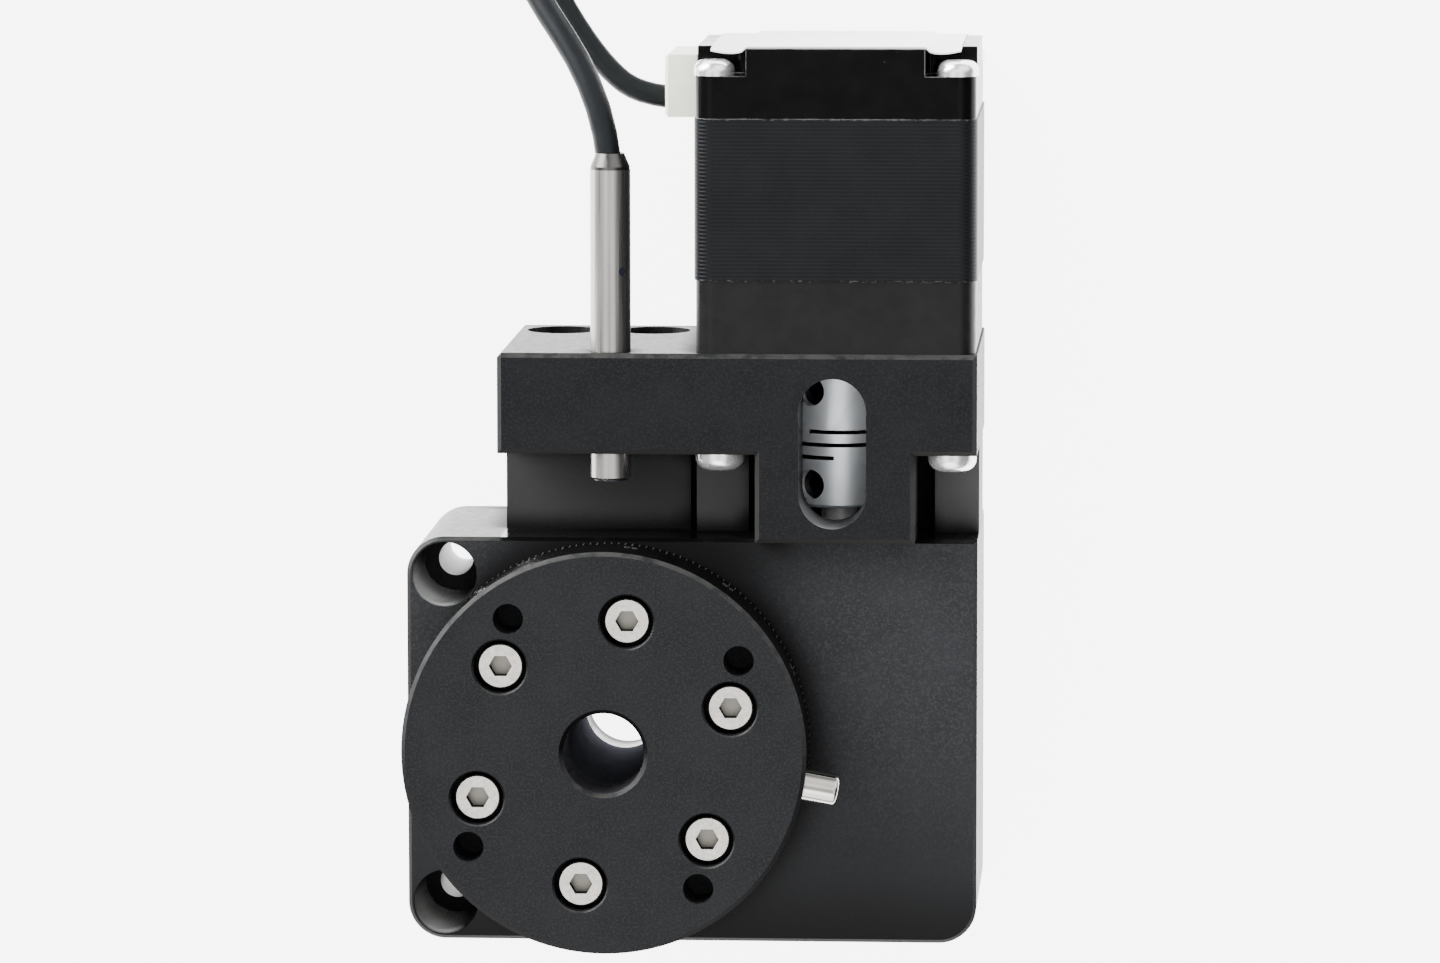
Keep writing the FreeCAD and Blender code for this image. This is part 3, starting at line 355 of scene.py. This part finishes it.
def noise(made, per_mm, detail=3.0, stretch=(1, 1, 1)):
    """Soft random pattern, most of it between the low and the high level of noise."""
    node = add_node(made, "TexNoise")
    node.inputs["Scale"].default_value = per_mm
    node.inputs["Detail"].default_value = detail
    link(made, coordinates(made, stretch), node.inputs["Vector"])
    return node.outputs["Fac"]


def bands(made, axis, period):
    """Even lines across an axis, a period apart in millimetres."""
    node = add_node(made, "TexWave")
    node.wave_type = "BANDS"
    node.bands_direction = axis
    node.inputs["Scale"].default_value = math.pi / 10 / period
    link(made, coordinates(made), node.inputs["Vector"])
    return node.outputs["Fac"]


def span(made, value, start, end):
    """0 where a value is at the start or before it, 1 at the end or past it, and smooth between."""
    node = add_node(made, "MapRange")
    node.interpolation_type = "SMOOTHSTEP"
    node.inputs["From Min"].default_value = start
    node.inputs["From Max"].default_value = end
    link(made, value, node.inputs["Value"])
    return node.outputs["Result"]


def times(made, *values):
    """Product of several values."""
    total = values[0]
    for value in values[1:]:
        node = add_node(made, "Math")
        node.operation = "MULTIPLY"
        link(made, total, node.inputs[0])
        link(made, value, node.inputs[1])
        total = node.outputs["Value"]
    return total


def within(made, value, low, high, blur):
    """1 where a value is between two ends, and 0 outside them, with a blur inside each end."""
    return times(made, span(made, value, low, low + blur), span(made, value, high, high - blur))


def roughened(made, value, low, high):
    """Sends a noise to the roughness, spread between two ends."""
    node = add_node(made, "MapRange")
    node.inputs["From Min"].default_value = NOISE_LOW
    node.inputs["From Max"].default_value = NOISE_HIGH
    node.inputs["To Min"].default_value = low
    node.inputs["To Max"].default_value = high
    link(made, value, node.inputs["Value"])
    link(made, node.outputs["Result"], surface(made).inputs["Roughness"])


def tinted(made, value, dark, light):
    """Sends a noise to the colour, between two colours."""
    node = add_node(made, "ValToRGB")
    low, high = node.color_ramp.elements
    low.position = NOISE_LOW
    low.color = (*dark, 1)
    high.position = NOISE_HIGH
    high.color = (*light, 1)
    link(made, value, node.inputs["Fac"])
    link(made, node.outputs["Color"], surface(made).inputs["Base Color"])


def bumped(made, value, height):
    """Raises the surface by a value, its height in millimetres, over any bump that is there."""
    node = add_node(made, "Bump")
    node.inputs["Strength"].default_value = 1.0
    node.inputs["Distance"].default_value = height * MM
    link(made, value, node.inputs["Height"])
    normal = surface(made).inputs["Normal"]
    for earlier in list(normal.links):
        link(made, earlier.from_socket, node.inputs["Normal"])
    link(made, node.outputs["Normal"], normal)


def blended(made, amount, socket, kind, other):
    """Blends what a socket of the shader has with another value by an amount."""
    mix = add_node(made, "Mix")
    mix.data_type = kind
    factor, own, new = [end for end in mix.inputs if end.enabled]
    goal = surface(made).inputs[socket]
    own.default_value = goal.default_value
    for earlier in list(goal.links):
        link(made, earlier.from_socket, own)
    new.default_value = other
    link(made, amount, factor)
    result = [end for end in mix.outputs if end.enabled][0]
    link(made, result, goal)


def mixed(made, amount, colour, roughness=None):
    """Blends the colour, and the roughness where one is given, with others by an amount."""
    blended(made, amount, "Base Color", "RGBA", (*colour, 1))
    if roughness is not None:
        blended(made, amount, "Roughness", "FLOAT", roughness)


# Wear, painted light and painted shade that several materials share

def worn_chamfers(made, below):
    """Chamfers lighter in patches where they look up along Y, bare from wear and with a painted highlight,
    and of another colour where they look down, a painted shade unless a light colour is given as painted
    light.
    """
    bare_and_lit = (0.03, 0.03, 0.029)
    y, z = facings(made)[1:]
    leaning = within(made, z, 0.5, 0.92, blur=0.12)
    patchy = span(made, noise(made, 0.7, detail=4), 0.25, 0.65)
    # colour painted on chamfers that look down: painted shade when dark, painted light when light
    mixed(made, times(made, leaning, span(made, y, 0.2, -0.1)), below, roughness=0.7)
    # lighter patches on chamfers that look up: wear and a painted highlight
    mixed(made, times(made, leaning, span(made, y, -0.2, 0.6), patchy), bare_and_lit, roughness=0.34)


def worn_corners(made, radius, colour):
    """Bare metal with a painted highlight where a corner rounded off to a radius would look another way
    than the face does.
    """
    look = add_node(made, "NewGeometry")
    rounded = add_node(made, "Bevel")
    rounded.samples = 6
    rounded.inputs["Radius"].default_value = radius * MM
    alike = add_node(made, "VectorMath")
    alike.operation = "DOT_PRODUCT"
    link(made, look.outputs["True Normal"], alike.inputs[0])
    link(made, rounded.outputs["Normal"], alike.inputs[1])
    patchy = span(made, noise(made, 0.6), 0.3, 0.6)
    # lighter corners: wear and a painted highlight
    mixed(made, times(made, span(made, alike.outputs["Value"], 0.97, 0.85), patchy), colour, roughness=0.3)


def shaded_corners(made, reach, colour, where=()):
    """Darker where other faces stand within a reach, and only where the amounts given are not 0."""
    node = add_node(made, "AmbientOcclusion")
    node.samples = 12
    node.inputs["Distance"].default_value = reach * MM
    mixed(made, times(made, span(made, node.outputs["AO"], 0.95, 0.5), *where), colour, roughness=0.6)


def bright_wall(made, middle, radius, deep, mouth, edge, colour):
    """Painted light on the lower left wall of a hollow along Z, fading to a depth and just before its
    edge.
    """
    inside = span(made, from_axis(made, *middle), radius + 0.2, radius + 0.1)
    x, y, z = facings(made)
    upright = span(made, z, 0.5, 0.2)
    lower_left = times(made, upright, span(made, y, -0.4, 0.6), span(made, x, -0.55, 0.5))
    depth = places(made)[2]
    fading = times(made, span(made, depth, deep, mouth), span(made, depth, edge, edge - EDGE_FADE))
    # painted light on the wall
    mixed(made, times(made, inside, lower_left, fading), colour, roughness=0.4)


def chipped(made, joint, half):
    """Bare specks beside a joint across Y, to half a width on each side."""
    beside = within(made, places(made)[1], joint - half, joint + half, blur=half)
    specks = span(made, noise(made, 2.2, detail=4), 0.5, 0.68)
    mixed(made, times(made, beside, specks), (0.05, 0.05, 0.048), roughness=0.5)


# Materials

# below is the colour painted on chamfers that look down; the near black default is a painted shade
def black_anodised(name, shade, below=(0.0008, 0.0008, 0.0009)):
    """Black aluminium with a fine grain, made darker or lighter by a shade."""
    made = shader(name, scaled((0.0125, 0.0131, 0.0144), shade), roughness=0.36, specular=0.1 * shade)
    dark = scaled((0.0108, 0.0114, 0.0127), shade)
    light = scaled((0.0146, 0.0152, 0.0168), shade)
    tinted(made, noise(made, 0.25), dark, light)
    grain = span(made, noise(made, 4.5, detail=2), 0.42, 0.72)
    mixed(made, grain, scaled((0.0215, 0.022, 0.0235), shade))
    roughened(made, noise(made, 1.2, detail=4), low=0.32, high=0.42)
    # painted highlight and wear on chamfers that look up, painted shade or the given colour on those that
    # look down
    worn_chamfers(made, below)
    bumped(made, noise(made, 9), height=0.012)
    return made


def body_anodised():
    """Body: darker with painted shade towards its low end along Y, round the table and under the bracket,
    with painted light in its wells.
    """
    made = black_anodised("body_anodised", shade=1.06)
    x, y = places(made)[:2]
    # painted shade towards the low end along Y, deepest at the end
    towards_low_end = span(made, y, *LOW_END_FADE_Y)
    mixed(made, towards_low_end, (0.0088, 0.0091, 0.01), roughness=0.38)
    at_low_end = span(made, y, *LOW_END_DARK_Y)
    mixed(made, at_low_end, (0.0018, 0.0019, 0.0021), roughness=0.38)
    # painted shadow of the table on the face above it
    from_sides = times(made, span(made, x, *ABOVE_TABLE_RIGHT_X), span(made, x, *ABOVE_TABLE_LEFT_X))
    above_table = times(made, span(made, y, *ABOVE_TABLE_Y), from_sides)
    mixed(made, above_table, (0.0018, 0.0019, 0.0022), roughness=0.4)
    # painted shadow of the bracket on the top face in front of its leg
    upwards = span(made, facings(made)[1], 0.5, 0.65)
    under_bracket = times(made, span(made, x, BRACKET_LEFT - 0.3, BRACKET_LEFT + 0.3), upwards)
    mixed(made, under_bracket, (0.002, 0.002, 0.002), roughness=0.13)
    # painted shade where other faces stand close, by the table and away from the tongue
    by_table = span(made, x, *BY_TABLE_X)
    by_tongue = times(made, span(made, y, *BY_TONGUE_Y), span(made, x, *BY_TONGUE_X))
    off_tongue = span(made, by_tongue, 1.0, 0.0)
    shaded_corners(made, reach=4.0, colour=(0.0015, 0.0015, 0.0018), where=(by_table, off_tongue))
    # painted light on the walls of the wells
    edge = BODY_FRONT - 0.2
    for middle in WELLS:
        for deep, colour in ((-60.0, (0.85, 0.86, 0.85)), (16.0, (0.3, 0.31, 0.3))):
            bright_wall(made, middle, WELL_R, deep, mouth=BODY_FRONT, edge=edge, colour=colour)
    return made


def table_anodised():
    """Table: its rim glossy and near black with painted shade, its bore matt."""
    made = black_anodised("table_anodised", shade=0.71)
    away = from_axis(made)
    upright = span(made, facings(made)[2], 0.3, 0.1)
    # painted shade on the rim
    rim = times(made, upright, span(made, away, DISC_R - 0.2, DISC_R - 0.1))
    mixed(made, rim, (0.0008, 0.0008, 0.0009), roughness=0.22)
    bore = times(made, upright, span(made, away, BORE_R + 0.3, BORE_R + 0.1))
    mixed(made, bore, (0.012, 0.012, 0.0145), roughness=1.0)
    return made


def bracket_anodised():
    """Bracket: lighter with painted light on the fronts of its leg and boss, which lie back under the
    plate, on its chamfers that look down and on the wall of its window, with painted shade in its corners.
    """
    # a light colour on chamfers that look down, as painted light
    made = black_anodised("bracket_anodised", shade=0.54, below=(0.018, 0.018, 0.0175))
    z = places(made)[2]
    ahead = span(made, facings(made)[2], 0.8, 0.95)
    # painted light on the fronts of the leg and boss
    for front, colour in ((LEG_FRONT, (0.033, 0.033, 0.034)), (BOSS_FRONT, (0.06, 0.06, 0.062))):
        near = within(made, z, front - 0.5, front + 0.5, blur=0.1)
        mixed(made, times(made, ahead, near), colour, roughness=0.36)
    # painted shade where other faces stand close
    shaded_corners(made, reach=3.0, colour=(0.003, 0.003, 0.0032))
    # painted light on the wall of the window
    bright_wall(made, WINDOW_END, WINDOW_R, deep=19.0, mouth=26.0, edge=30.0, colour=(0.16, 0.16, 0.16))
    return made


def matt_black():
    """Blackened bore of the spindle, with no gloss, its colour lightened as painted light deep inside and
    darker towards its mouth.
    """
    # colour lightened as painted light where little light reaches
    made = shader("matt_black", (0.12, 0.12, 0.145), roughness=0.8, specular=0.0)
    tinted(made, noise(made, 0.4), (0.1, 0.1, 0.125), (0.14, 0.14, 0.165))
    # painted light fading out towards the mouth
    towards_mouth = span(made, places(made)[2], *SPINDLE_MOUTH_Z)
    mixed(made, towards_mouth, (0.04, 0.04, 0.048), roughness=0.9)
    return made


def motor_paint():
    """Gloss black paint of the end cap, chipped at its joint and bare with a painted highlight on its
    corners.
    """
    made = shader("motor_paint", (0.0019, 0.0019, 0.0021), roughness=0.2, specular=0.05)
    tinted(made, noise(made, 0.4), (0.0015, 0.0015, 0.0017), (0.0025, 0.0025, 0.0027))
    roughened(made, noise(made, 0.5), low=0.16, high=0.26)
    scuffs = span(made, noise(made, 1.1, detail=2), 0.76, 0.8)
    mixed(made, scuffs, (0.03, 0.03, 0.03), roughness=0.6)
    chipped(made, CAP_JOINT, half=0.2)
    # wear and a painted highlight on the corners
    worn_corners(made, radius=0.2, colour=(0.16, 0.16, 0.155))
    bumped(made, noise(made, 2.2, detail=2), height=0.01)
    return made


def flange_paint():
    made = shader("flange_paint", (0.005, 0.005, 0.0053), roughness=0.36, specular=0.12)
    tinted(made, noise(made, 0.3), (0.0042, 0.0042, 0.0045), (0.006, 0.006, 0.0062))
    roughened(made, noise(made, 0.8), low=0.3, high=0.42)
    chipped(made, FLANGE_JOINT, half=0.2)
    bumped(made, noise(made, 4), height=0.01)
    return made


def laminations():
    """Stacked sheets of the stator, their edges as fine lines across Y."""
    made = shader("laminations", (0.0036, 0.004, 0.0049), roughness=0.4, specular=0.08)
    tinted(made, noise(made, 0.3), (0.003, 0.0034, 0.0042), (0.0044, 0.0048, 0.0058))
    for joint in (CAP_JOINT, FLANGE_JOINT):
        chipped(made, joint, half=0.15)
    bumped(made, bands(made, "Y", period=0.38), height=0.035)
    bumped(made, noise(made, 6, detail=2), height=0.008)
    return made


def steel(name, base, low, high, metallic=1.0):
    """Turned or drawn steel, with fine marks and a roughness that varies between two ends."""
    made = shader(name, base, (low + high) / 2, metallic)
    tinted(made, noise(made, 0.6), scaled(base, 0.92), scaled(base, 1.06))
    roughened(made, noise(made, 2.5, detail=4), low, high)
    bumped(made, noise(made, 14, detail=2), height=0.004)
    return made


def polished_steel():
    """Smooth ground pin."""
    made = shader("polished_steel", (0.4, 0.39, 0.355), roughness=0.12, metallic=1.0)
    tinted(made, noise(made, 0.6), (0.37, 0.36, 0.33), (0.43, 0.42, 0.385))
    roughened(made, noise(made, 1.0), low=0.09, high=0.15)
    return made


def socket_steel():
    """Stainless cap screws, with painted shade down in their sockets, most on the walls."""
    made = steel("socket_steel", (0.68, 0.66, 0.61), low=0.22, high=0.34)
    # painted shade down in the socket, deepest on its walls
    below = span(made, places(made)[2], TABLE_HEAD_TOP - 0.02, TABLE_HEAD_TOP - 0.3)
    mixed(made, below, (0.19, 0.18, 0.16), roughness=0.35)
    walls = span(made, facings(made)[2], 0.6, 0.3)
    mixed(made, times(made, below, walls), (0.02, 0.019, 0.018), roughness=0.9)
    return made


def drawn_steel(name, shade):
    """Stainless tube with fine lines along Y."""
    made = shader(name, scaled((1, 0.98, 0.94), shade), roughness=0.3, metallic=1.0)
    along = (1, 0.02, 1)
    lines = noise(made, 3.0, detail=4, stretch=along)
    tinted(made, lines, scaled((0.88, 0.86, 0.82), shade), scaled((1.1, 1.08, 1.04), shade))
    roughened(made, lines, low=0.24, high=0.38)
    bumped(made, noise(made, 8, detail=2, stretch=along), height=0.006)
    return made


def turned_steel():
    """Dull turned shaft."""
    made = shader("turned_steel", (0.72, 0.72, 0.72), roughness=0.5, metallic=0.2)
    tinted(made, noise(made, 0.5), (0.66, 0.66, 0.66), (0.76, 0.76, 0.76))
    bumped(made, bands(made, "Y", period=0.12), height=0.003)
    return made


def turned_aluminium():
    """Pale turned coupling, with painted shade down in its slits."""
    made = shader("turned_aluminium", (0.82, 0.86, 0.9), roughness=0.4, metallic=0.6)
    tinted(made, noise(made, 0.5), (0.78, 0.82, 0.86), (0.86, 0.9, 0.93))
    y = places(made)[1]
    among_slits = within(made, y, COUPLING_MIDDLE - SLITS_HALF, COUPLING_MIDDLE + SLITS_HALF, blur=0.1)
    # painted shade on the floors of the slits
    slit_floor_shade = times(made, among_slits, span(made, facings(made)[1], 0.5, 0.9))
    mixed(made, slit_floor_shade, (0.002, 0.002, 0.003), roughness=0.9)
    bumped(made, bands(made, "Y", period=0.12), height=0.003)
    bumped(made, noise(made, 10, detail=2), height=0.004)
    return made


def bronze():
    made = shader("bronze", (0.6, 0.42, 0.2), roughness=0.32, metallic=1.0)
    tinted(made, noise(made, 0.4), (0.5, 0.34, 0.15), (0.64, 0.46, 0.23))
    bumped(made, noise(made, 10, detail=2), height=0.004)
    return made


def nylon(name, base):
    """Moulded plastic, slightly cloudy."""
    made = shader(name, base, roughness=0.42)
    tinted(made, noise(made, 0.4), scaled(base, 0.95), scaled(base, 1.03))
    bumped(made, noise(made, 5), height=0.008)
    return made


def sheath(name, base):
    """Cord's outer skin: soft plastic with a faint drag of the die."""
    made = shader(name, base, roughness=0.42, specular=0.14)
    tinted(made, noise(made, 0.3), scaled(base, 0.85), scaled(base, 1.15))
    roughened(made, noise(made, 1.5), low=0.36, high=0.5)
    bumped(made, noise(made, 6, detail=2), height=0.008)
    return made


def paper():
    made = shader("label_paper", (0.84, 0.82, 0.82), roughness=0.5)
    tinted(made, noise(made, 0.6), (0.82, 0.8, 0.8), (0.86, 0.84, 0.84))
    bumped(made, noise(made, 4), height=0.004)
    return made


def copper_lacquer():
    """Wound copper wire, its turns as lines across X."""
    made = shader("copper_lacquer", (0.5, 0.2, 0.08), roughness=0.35, metallic=0.8)
    bumped(made, bands(made, "X", period=0.3), height=0.05)
    return made


def resin():
    made = shader("resin", (0.01, 0.012, 0.02), roughness=0.3)
    bumped(made, noise(made, 3, detail=2), height=0.01)
    return made


def scale_paint():
    """Thin, dim paint of the scale."""
    made = shader("scale_paint", (0.035, 0.035, 0.034), roughness=0.6, specular=0.1)
    tinted(made, noise(made, 2), (0.018, 0.018, 0.0175), (0.055, 0.055, 0.053))
    return made


def dress(made, *names):
    """Gives a material to nodes of the frame."""
    for name in names:
        mesh = nodes[name].data
        mesh.materials.clear()
        mesh.materials.append(made)


dress(body_anodised(), "body_housing", "back_cover")
dress(table_anodised(), "table_disc")
dress(bracket_anodised(), "motor_bracket")
dress(matt_black(), "spindle_hub")
dress(motor_paint(), "motor_end_cap")
dress(flange_paint(), "motor_flange")
dress(laminations(), "stator_stack", "motor_rotor")
dress(socket_steel(), "table_screws")
dress(polished_steel(), "home_pin")
dress(
    steel("zinc_plate", (0.82, 0.82, 0.81), low=0.16, high=0.28, metallic=0.8),
    "motor_case_screws", "motor_mount_screws",
)
dress(steel("ground_steel", (0.6, 0.6, 0.61), low=0.2, high=0.32), "spindle_nut")
dress(turned_steel(), "worm_shaft")
dress(steel("shaft_steel", (0.58, 0.58, 0.58), low=0.22, high=0.3), "motor_shaft", "worm_bearing_nut")
dress(
    steel("bearing_steel", (0.66, 0.67, 0.68), low=0.12, high=0.22),
    "worm_bearing_outers", "worm_bearing_inners", "table_bearing_outer", "table_bearing_inner",
    "lower_bearing_outer", "lower_bearing_inner", "motor_bearing_outers", "motor_bearing_inners",
)
dress(
    steel("black_oxide", (0.03, 0.03, 0.032), low=0.3, high=0.45),
    "back_cover_screws", "bracket_screws", "coupling_set_screws", "sensor_set_screw",
)
dress(drawn_steel("drawn_steel", shade=0.33), "sensor_barrel")
dress(drawn_steel("crimped_steel", shade=0.08), "sensor_crimp")
dress(turned_aluminium(), "shaft_coupling")
dress(bronze(), "worm_wheel")
dress(nylon("ivory_nylon", (0.84, 0.845, 0.7)), "motor_plug", "motor_socket")
dress(nylon("cream_nylon", (0.75, 0.74, 0.68)), "motor_cord_connector", "sensor_cord_connector")
dress(nylon("black_nylon", (0.012, 0.012, 0.012)), "motor_cord_tie", "sensor_cord_tie")
dress(copper_lacquer(), "stator_windings")
dress(resin(), "sensor_core", "sensor_face", "sensor_led")
motor_lead.data.materials.append(sheath("motor_sheath", (0.0042, 0.0056, 0.0062)))
sensor_lead.data.materials.append(sheath("sensor_sheath", (0.0042, 0.0054, 0.0066)))


# Scale on the rim of the table

def new_piece(name, mesh, body, made):
    """Object of a mesh that rides on a body."""
    piece = bpy.data.objects.new(name, mesh)
    bpy.context.scene.collection.objects.link(piece)
    mesh.materials.append(made)
    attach(piece, body)
    return piece


def on_rim(angle, height, proud):
    """Point by the rim of the table, proud of it by a distance, at a height above the rim's foot."""
    radius = DISC_R + proud
    return Vector((radius * math.cos(angle), radius * math.sin(angle), DISC_BOTTOM + height)) * MM


def add_line(mesh, angle, height):
    """Thin raised line on the rim, open on its hidden inner side."""
    turn = LINE_HALF_WIDTH / DISC_R
    top = SCALE_FOOT + height
    corners = [(-turn, SCALE_FOOT), (turn, SCALE_FOOT), (turn, top), (-turn, top)]
    outer = [mesh.verts.new(on_rim(angle + a, z, LINE_PROUD)) for a, z in corners]
    inner = [mesh.verts.new(on_rim(angle + a, z, LINE_ROOT)) for a, z in corners]
    mesh.faces.new(outer)
    for k in range(4):
        mesh.faces.new((outer[k], inner[k], inner[(k + 1) % 4], outer[(k + 1) % 4]))


def add_number(mesh, words, angle):
    """Number bent round the rim, upright when the table's face is up."""
    data = bpy.data.curves.new("number", "FONT")
    data.body = words
    data.size = NUMBER_SIZE
    data.align_x = "CENTER"
    data.align_y = "CENTER"
    data.extrude = NUMBER_HALF_THICK
    data.resolution_u = 2
    text = bpy.data.objects.new("number", data)
    flat = bpy.data.meshes.new_from_object(text)
    for vertex in flat.vertices:
        x, y, z = vertex.co
        vertex.co = on_rim(angle + x / DISC_R, NUMBER_MIDDLE + y, z - NUMBER_SINK)
    mesh.from_mesh(flat)
    bpy.data.objects.remove(text)
    bpy.data.curves.remove(data)
    bpy.data.meshes.remove(flat)


def make_scale():
    mesh = bmesh.new()
    for degree in range(0, 360, LINE_STEP):
        height = LONG_LINE if degree % LONG_LINE_STEP == 0 else SHORT_LINE
        add_line(mesh, math.radians(degree + SCALE_TURN), height)
    for degree in range(0, 360, NUMBER_STEP):
        add_number(mesh, str(degree), math.radians(degree + SCALE_TURN))
    data = bpy.data.meshes.new("rim_scale")
    mesh.to_mesh(data)
    mesh.free()
    new_piece("rim_scale", data, "table", scale_paint())


make_scale()


# Label

def sheet_lines(half):
    """Places of the sheet's cross lines, close together over the pockets."""
    step = (half - POCKET_EDGE) / POCKET_STEPS
    outer = [POCKET_EDGE + step * k for k in range(POCKET_STEPS + 1)]
    return [-place for place in reversed(outer)] + outer


def sag(x, z):
    """How far the sheet hangs down at a place: most on its edges along X, midway over a pocket."""
    over_x = max(0.0, (abs(x) - POCKET_EDGE) / (LABEL_HALF_X - POCKET_EDGE))
    over_z = max(0.0, (abs(z) - POCKET_EDGE) / (LABEL_HALF_Z - POCKET_EDGE))
    return LABEL_SAG * over_z * math.sqrt(over_x) * (SAG_EASE - over_x)


def make_label():
    mesh = bmesh.new()
    columns = sheet_lines(LABEL_HALF_X)
    rows = sheet_lines(LABEL_HALF_Z)
    last = len(rows) - 1
    layers = []
    for lift in (0, LABEL_THICK):
        layer = {}
        for i, x in enumerate(columns):
            for k, z in enumerate(rows):
                place = Vector((LABEL_X + x, LABEL_FLOOR + lift - sag(x, z), LABEL_Z + z))
                layer[i, k] = mesh.verts.new(place * MM)
        for i in range(last):
            for k in range(last):
                mesh.faces.new((layer[i, k], layer[i + 1, k], layer[i + 1, k + 1], layer[i, k + 1]))
        layers.append(layer)
    low, high = layers
    edge = [(i, 0) for i in range(last)] + [(last, k) for k in range(last)]
    edge += [(i, last) for i in range(last, 0, -1)] + [(0, k) for k in range(last, 0, -1)]
    for here, there in zip(edge, edge[1:] + edge[:1]):
        mesh.faces.new((low[here], low[there], high[there], high[here]))
    bmesh.ops.recalc_face_normals(mesh, faces=mesh.faces)
    data = bpy.data.meshes.new("label_sheet")
    mesh.to_mesh(data)
    mesh.free()
    sheet = new_piece("label_sheet", data, "base", paper())
    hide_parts("motor_label")


make_label()


# Floor and light

def make_floor():
    """Pale light table, brightest under the part, so that the holes through the body show it too."""
    mesh = bpy.data.meshes.new("floor")
    corners = [(x * FLOOR_HALF, y * FLOOR_HALF, 0) for x, y in ((-1, -1), (1, -1), (1, 1), (-1, 1))]
    mesh.from_pydata(corners, [], [(0, 1, 2, 3)])
    floor = bpy.data.objects.new("floor", mesh)
    floor.location.z = -FLOOR_DROP
    bpy.context.scene.collection.objects.link(floor)
    made = shader("floor_sheet", (0.3, 0.3, 0.3), roughness=0.9)
    tinted(made, noise(made, 0.02), (0.295, 0.295, 0.295), (0.305, 0.305, 0.305))
    surface(made).inputs["Emission Color"].default_value = (1, 1, 1, 1)
    place = add_node(made, "TexCoord")
    away = add_node(made, "VectorMath")
    away.operation = "LENGTH"
    link(made, place.outputs["Object"], away.inputs[0])
    fade = add_node(made, "MapRange")
    fade.interpolation_type = "SMOOTHSTEP"
    fade.inputs["From Min"].default_value = FLOOR_NEAR
    fade.inputs["From Max"].default_value = FLOOR_FAR
    fade.inputs["To Min"].default_value = FLOOR_LIGHT
    fade.inputs["To Max"].default_value = FLOOR_FAR_LIGHT
    link(made, away.outputs["Value"], fade.inputs["Value"])
    link(made, fade.outputs["Result"], surface(made).inputs["Emission Strength"])
    mesh.materials.append(made)


def make_sky():
    """Even white light with soft brighter and darker patches."""
    world = bpy.data.worlds.new("studio")
    bpy.context.scene.world = world
    world.use_nodes = True
    background = world.node_tree.nodes["Background"]
    background.inputs["Color"].default_value = (1, 1, 1, 1)
    place = add_node(world, "TexCoord")
    total = None
    for direction, start, full, amount in SKY_PATCHES:
        facing = add_node(world, "VectorMath")
        facing.operation = "DOT_PRODUCT"
        facing.inputs[1].default_value = Vector(direction).normalized()
        link(world, place.outputs["Generated"], facing.inputs[0])
        patch = add_node(world, "MapRange")
        patch.interpolation_type = "SMOOTHSTEP"
        patch.inputs["From Min"].default_value = start
        patch.inputs["From Max"].default_value = full
        patch.inputs["To Max"].default_value = amount
        link(world, facing.outputs["Value"], patch.inputs["Value"])
        adding = add_node(world, "Math")
        adding.inputs[0].default_value = SKY_LIGHT
        if total:
            link(world, total, adding.inputs[0])
        link(world, patch.outputs["Result"], adding.inputs[1])
        total = adding.outputs["Value"]
    link(world, total, background.inputs["Strength"])


make_floor()
make_sky()
